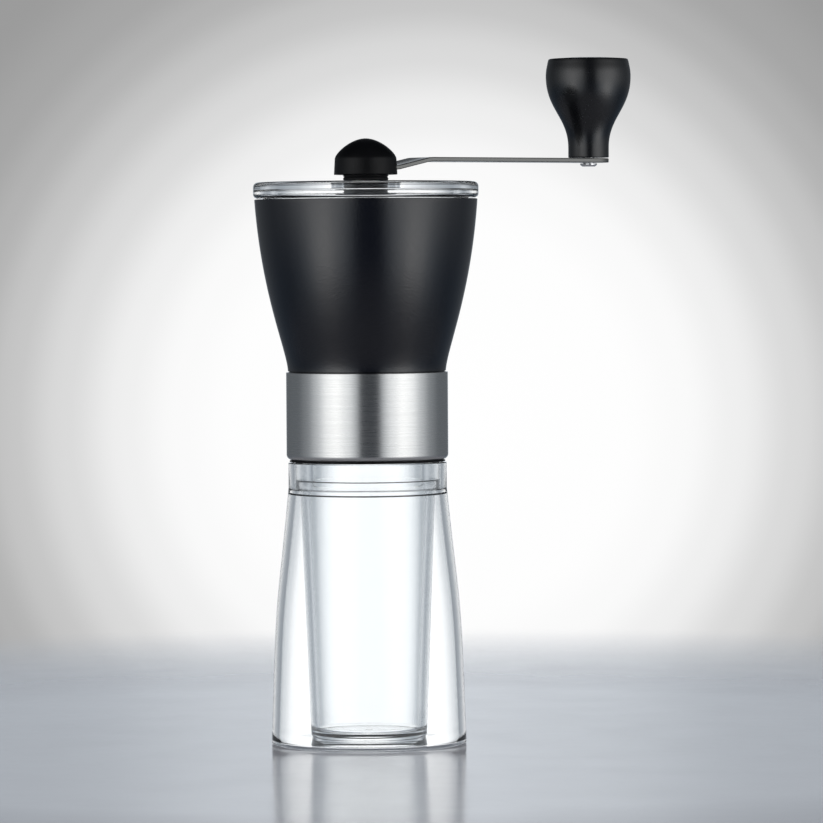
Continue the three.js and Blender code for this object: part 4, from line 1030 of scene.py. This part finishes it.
recess_high = knob_high - 3 * MM
knob_outline = rounded(outline(
    (stem_radius, knob_low, 0.25 * MM),
    knob_flare,
    knob_upper,
    (knob_radius - TAPER - 0.25 * MM, knob_rim, 0.9 * MM),
    (seam_radius, knob_high - 0.1 * MM, 0.12 * MM),
    (seam_radius, recess_high, 0.1 * MM),
    (recess_radius, recess_high, 0.1 * MM),
    (recess_radius, knob_low, 0.2 * MM),
), closed=True)


def at_knob(points):
    """The same grid, moved along X to the knob's axis."""
    points[..., 0] += knob_centre
    return points


knob_body = grid_piece("knob_body_fine", at_knob(revolved(knob_outline, 128)), wrap_rows=True)
stands_for(knob_body, "knob_body")
cap_outline = rounded(outline(
    (0, knob_high - 2.8 * MM),
    (CAP_RADIUS, knob_high - 2.8 * MM, 0.2 * MM),
    (CAP_RADIUS, knob_high - 0.1 * MM, 0.15 * MM),
    (CAP_RADIUS * 0.6, knob_high - 0.02 * MM, 2 * MM),
    (0, knob_high),
), closed=False)
knob_cap = grid_piece("knob_cap_fine", at_knob(revolved(cap_outline, 96)))
stands_for(knob_cap, "knob_cap")

# %% [markdown]
# ## The stage
#
# A pale round table fades out into the backdrop. A clear jar looks clean only when bright card fills the
# view behind its walls, so rays that come out of the clear plastic see a white card. Its grey surroundings,
# only slightly blue, darken the walls' edges. The table is hidden from those rays for the same reason.

# %% Table
TABLE_RADIUS = 0.7
TABLE_THICKNESS = 2 * MM
FADE_START = 0.22
FADE_END = 0.54


def table_finish():
    """Satin pale grey-blue that turns transparent with its distance from the middle."""
    material, tree, shader = new_finish("pale_table", Specular_IOR_Level=0.5)
    coloured(tree, shader, noise(tree, 6, detail=2), (0.60, 0.605, 0.66), (0.63, 0.635, 0.69))
    roughened(tree, shader, noise(tree, 30, detail=2), MID_SPREAD, 0.13, 0.17)
    place = tree.nodes.new("ShaderNodeTexCoord")
    far = tree.nodes.new("ShaderNodeVectorMath")
    far.operation = "LENGTH"
    tree.links.new(place.outputs["Object"], far.inputs[0])
    fade = ranged(tree, far.outputs["Value"], FADE_START, FADE_END, 1.0, 0.0)
    tree.links.new(fade, shader.inputs["Alpha"])
    return material


table = turned_piece("table", outline(
    (0, -TABLE_THICKNESS),
    (TABLE_RADIUS, -TABLE_THICKNESS),
    (TABLE_RADIUS, 0),
    (0, 0),
), closed=False, sides=96)
table.data.materials.append(table_finish())
table.visible_transmission = False

# %% [markdown]
# The studio is a world painted by direction. The helpers build its node tree: one measures how far a
# direction points along an axis, one does arithmetic, one turns an angle into a brightness, and one mixes
# two of them.

# %% World helpers
world = bpy.data.worlds.new("studio")
world.use_nodes = True
bpy.context.scene.world = world
sky = world.node_tree
direction = sky.nodes.new("ShaderNodeTexCoord").outputs["Generated"]


def along(axis):
    """How far the looked-along direction points along an axis: their dot product."""
    node = sky.nodes.new("ShaderNodeVectorMath")
    node.operation = "DOT_PRODUCT"
    node.inputs[1].default_value = axis
    sky.links.new(direction, node.inputs[0])
    return node.outputs["Value"]


def worked(operation, *values):
    """A Math node on sockets or plain numbers."""
    node = sky.nodes.new("ShaderNodeMath")
    node.operation = operation
    for socket, value in zip(node.inputs, values):
        if isinstance(value, (int, float)):
            socket.default_value = value
        else:
            sky.links.new(value, socket)
    return node.outputs["Value"]


def graded(value, span, stops, blueness=0.0):
    """Brightness by angle: stops are (degrees, brightness), joined by smooth stretches.

    Red is brightness to the power 1 + blueness and blue to the power 1 - blueness, so only greys turn blue.
    """
    node = sky.nodes.new("ShaderNodeValToRGB")
    node.color_ramp.interpolation = "EASE"
    sky.links.new(worked("DIVIDE", value, math.radians(span)), node.inputs["Fac"])
    marks = node.color_ramp.elements
    marks.remove(marks[1])
    for number, (degrees, brightness) in enumerate(stops):
        mark = marks[0] if number == 0 else marks.new(degrees / span)
        mark.position = degrees / span
        mark.color = (brightness ** (1 + blueness), brightness, brightness ** (1 - blueness), 1)
    return node.outputs["Color"]


def mixed(share, first, second, operation="MIX"):
    """The first colour blended with the second by a share; another operation adds or multiplies them."""
    node = sky.nodes.new("ShaderNodeMix")
    node.data_type = "RGBA"
    node.blend_type = operation
    node.clamp_factor = True
    for name, value in (("Factor", share), ("A", first), ("B", second)):
        if isinstance(value, (int, float)):
            node.inputs[name].default_value = value
        else:
            sky.links.new(value, node.inputs[name])
    return node.outputs["Result"]


# %% [markdown]
# Two tall soft lights stand either side of the camera, with a dark gap between them that makes the dark
# stripe down the steel. They are narrower below the horizon, so a second profile takes over there. The
# rest of the room is dim to reflections, which keeps the black hopper's edges dark, but a soft glow
# straight behind the grinder brightens the table. The camera itself sees a backdrop that is white in the
# middle and falls off to grey, and rays out of the clear plastic see the card. Each profile is a list of
# (degrees, brightness) stops.

# %% Studio
BACKDROP_STOPS = (
    (0, 1.0), (2.2, 0.99), (2.9, 0.955), (3.5, 0.865), (4.2, 0.70), (4.8, 0.56), (5.3, 0.45),
    (5.8, 0.38), (6.6, 0.33), (20, 0.55),
)
CARD_STOPS = (
    (0, 1.0), (7, 1.0), (10, 0.93), (12.5, 0.83), (15, 0.71), (18, 0.60), (21, 0.48), (25, 0.38), (30, 0.32),
    (37, 0.27), (43, 0.34), (49, 0.50), (54, 0.42), (62, 0.25), (80, 0.28), (110, 0.40), (180, 0.46),
)
LIGHT_STOPS = (
    (0, 0.018), (13, 0.02), (18, 0.33), (30, 0.59), (48, 0.73), (64, 0.64), (80, 0.35), (98, 0.145),
    (120, 0.07), (180, 0.05),
)
LOW_LIGHT_STOPS = (
    (0, 0.018), (13, 0.02), (20, 0.20), (34, 0.56), (48, 0.98), (60, 0.78), (72, 0.33), (86, 0.12),
    (104, 0.05), (180, 0.04),
)
GLOW_STOPS = ((0, 0.33), (2, 0.28), (4, 0.18), (8, 0.12), (18, 0.0), (180, 0.0))
HEIGHT_STOPS = ((0, 0.10), (38, 0.35), (56, 1.0), (100, 1.0), (114, 0.25), (130, 0.06), (180, 0.05))
BACKDROP_SPAN = 30
FULL_SPAN = 180
LOW_LIGHTS_TOP = math.radians(76)
LOW_LIGHTS_FADE = math.radians(10)
CARD_BLUE = 0.07
LOW_LIGHT_BLUE = 0.09
LIGHT_BLUE = 0.03
GLOW_BLUE = 0.05
BACKDROP_SIDE = 0.0037
BACKDROP_DROP = 0.0017
LIGHT_SHIFT = math.radians(4)
CARD_STRENGTH = 1.3
LIGHT_STRENGTH = 2.6

camera_up = camera_right.cross(-to_camera)
backdrop_middle = -to_camera + camera_right * BACKDROP_SIDE - camera_up * BACKDROP_DROP
backdrop_middle.normalize()
light_azimuth = VIEW_AZIMUTH + LIGHT_SHIFT
between_lights = Vector((math.sin(light_azimuth), -math.cos(light_azimuth), 0))
across_lights = Vector((-between_lights.y, between_lights.x, 0))

off_middle = worked("ARCCOSINE", along(backdrop_middle))
backdrop = graded(off_middle, BACKDROP_SPAN, BACKDROP_STOPS)
level_ahead = Vector((-math.sin(VIEW_AZIMUTH), math.cos(VIEW_AZIMUTH), 0))
turned_off = worked("ARCTAN2", worked("ABSOLUTE", along(camera_right)), along(level_ahead))
card = graded(turned_off, FULL_SPAN, CARD_STOPS, CARD_BLUE)
sideways = worked("ABSOLUTE", along(across_lights))
round_angle = worked("ARCTAN2", sideways, along(between_lights))
from_below = worked("ARCCOSINE", along(Vector((0, 0, -1))))
height_share = worked("DIVIDE", worked("SUBTRACT", from_below, LOW_LIGHTS_TOP), LOW_LIGHTS_FADE)
low_lights = graded(round_angle, FULL_SPAN, LOW_LIGHT_STOPS, LOW_LIGHT_BLUE)
high_lights = graded(round_angle, FULL_SPAN, LIGHT_STOPS, LIGHT_BLUE)
glow = graded(turned_off, FULL_SPAN, GLOW_STOPS, GLOW_BLUE)
sides = mixed(1.0, mixed(height_share, low_lights, high_lights), glow, "ADD")
lights = mixed(1.0, sides, graded(from_below, FULL_SPAN, HEIGHT_STOPS), "MULTIPLY")

path = sky.nodes.new("ShaderNodeLightPath")
through_plastic = path.outputs["Is Transmission Ray"]
from_camera = path.outputs["Is Camera Ray"]
seen = mixed(from_camera, mixed(through_plastic, lights, card), backdrop)
card_change = worked("MULTIPLY", through_plastic, CARD_STRENGTH - LIGHT_STRENGTH)
backdrop_change = worked("MULTIPLY", from_camera, 1 - LIGHT_STRENGTH)
strength = worked("ADD", worked("ADD", card_change, backdrop_change), LIGHT_STRENGTH)
background = sky.nodes["Background"]
sky.links.new(seen, background.inputs["Color"])
sky.links.new(strength, background.inputs["Strength"])
print("studio", len(sky.nodes), "nodes")

# %% [markdown]
# A broad panel overhead lights the table softly. It is kept out of reflections, so the dome and the knob
# keep their dark tops.

# %% Overhead panel
PANEL_SIZE = 3
PANEL_POWER = 16
PANEL_HEIGHT = 1.6
panel_data = bpy.data.lights.new("overhead", "AREA")
panel_data.size = PANEL_SIZE
panel_data.energy = PANEL_POWER
panel = bpy.data.objects.new("overhead", panel_data)
bpy.context.scene.collection.objects.link(panel)
panel.location = (0, 0, PANEL_HEIGHT)
panel.visible_camera = False
panel.visible_glossy = False
panel.visible_transmission = False

# %% [markdown]
# ## Finish
#
# Clear pieces let light through, so they cast no hard shadow.

# %% Finish
for piece in (jar_shell, jar_cup, jar_base, lid):
    piece.visible_shadow = False
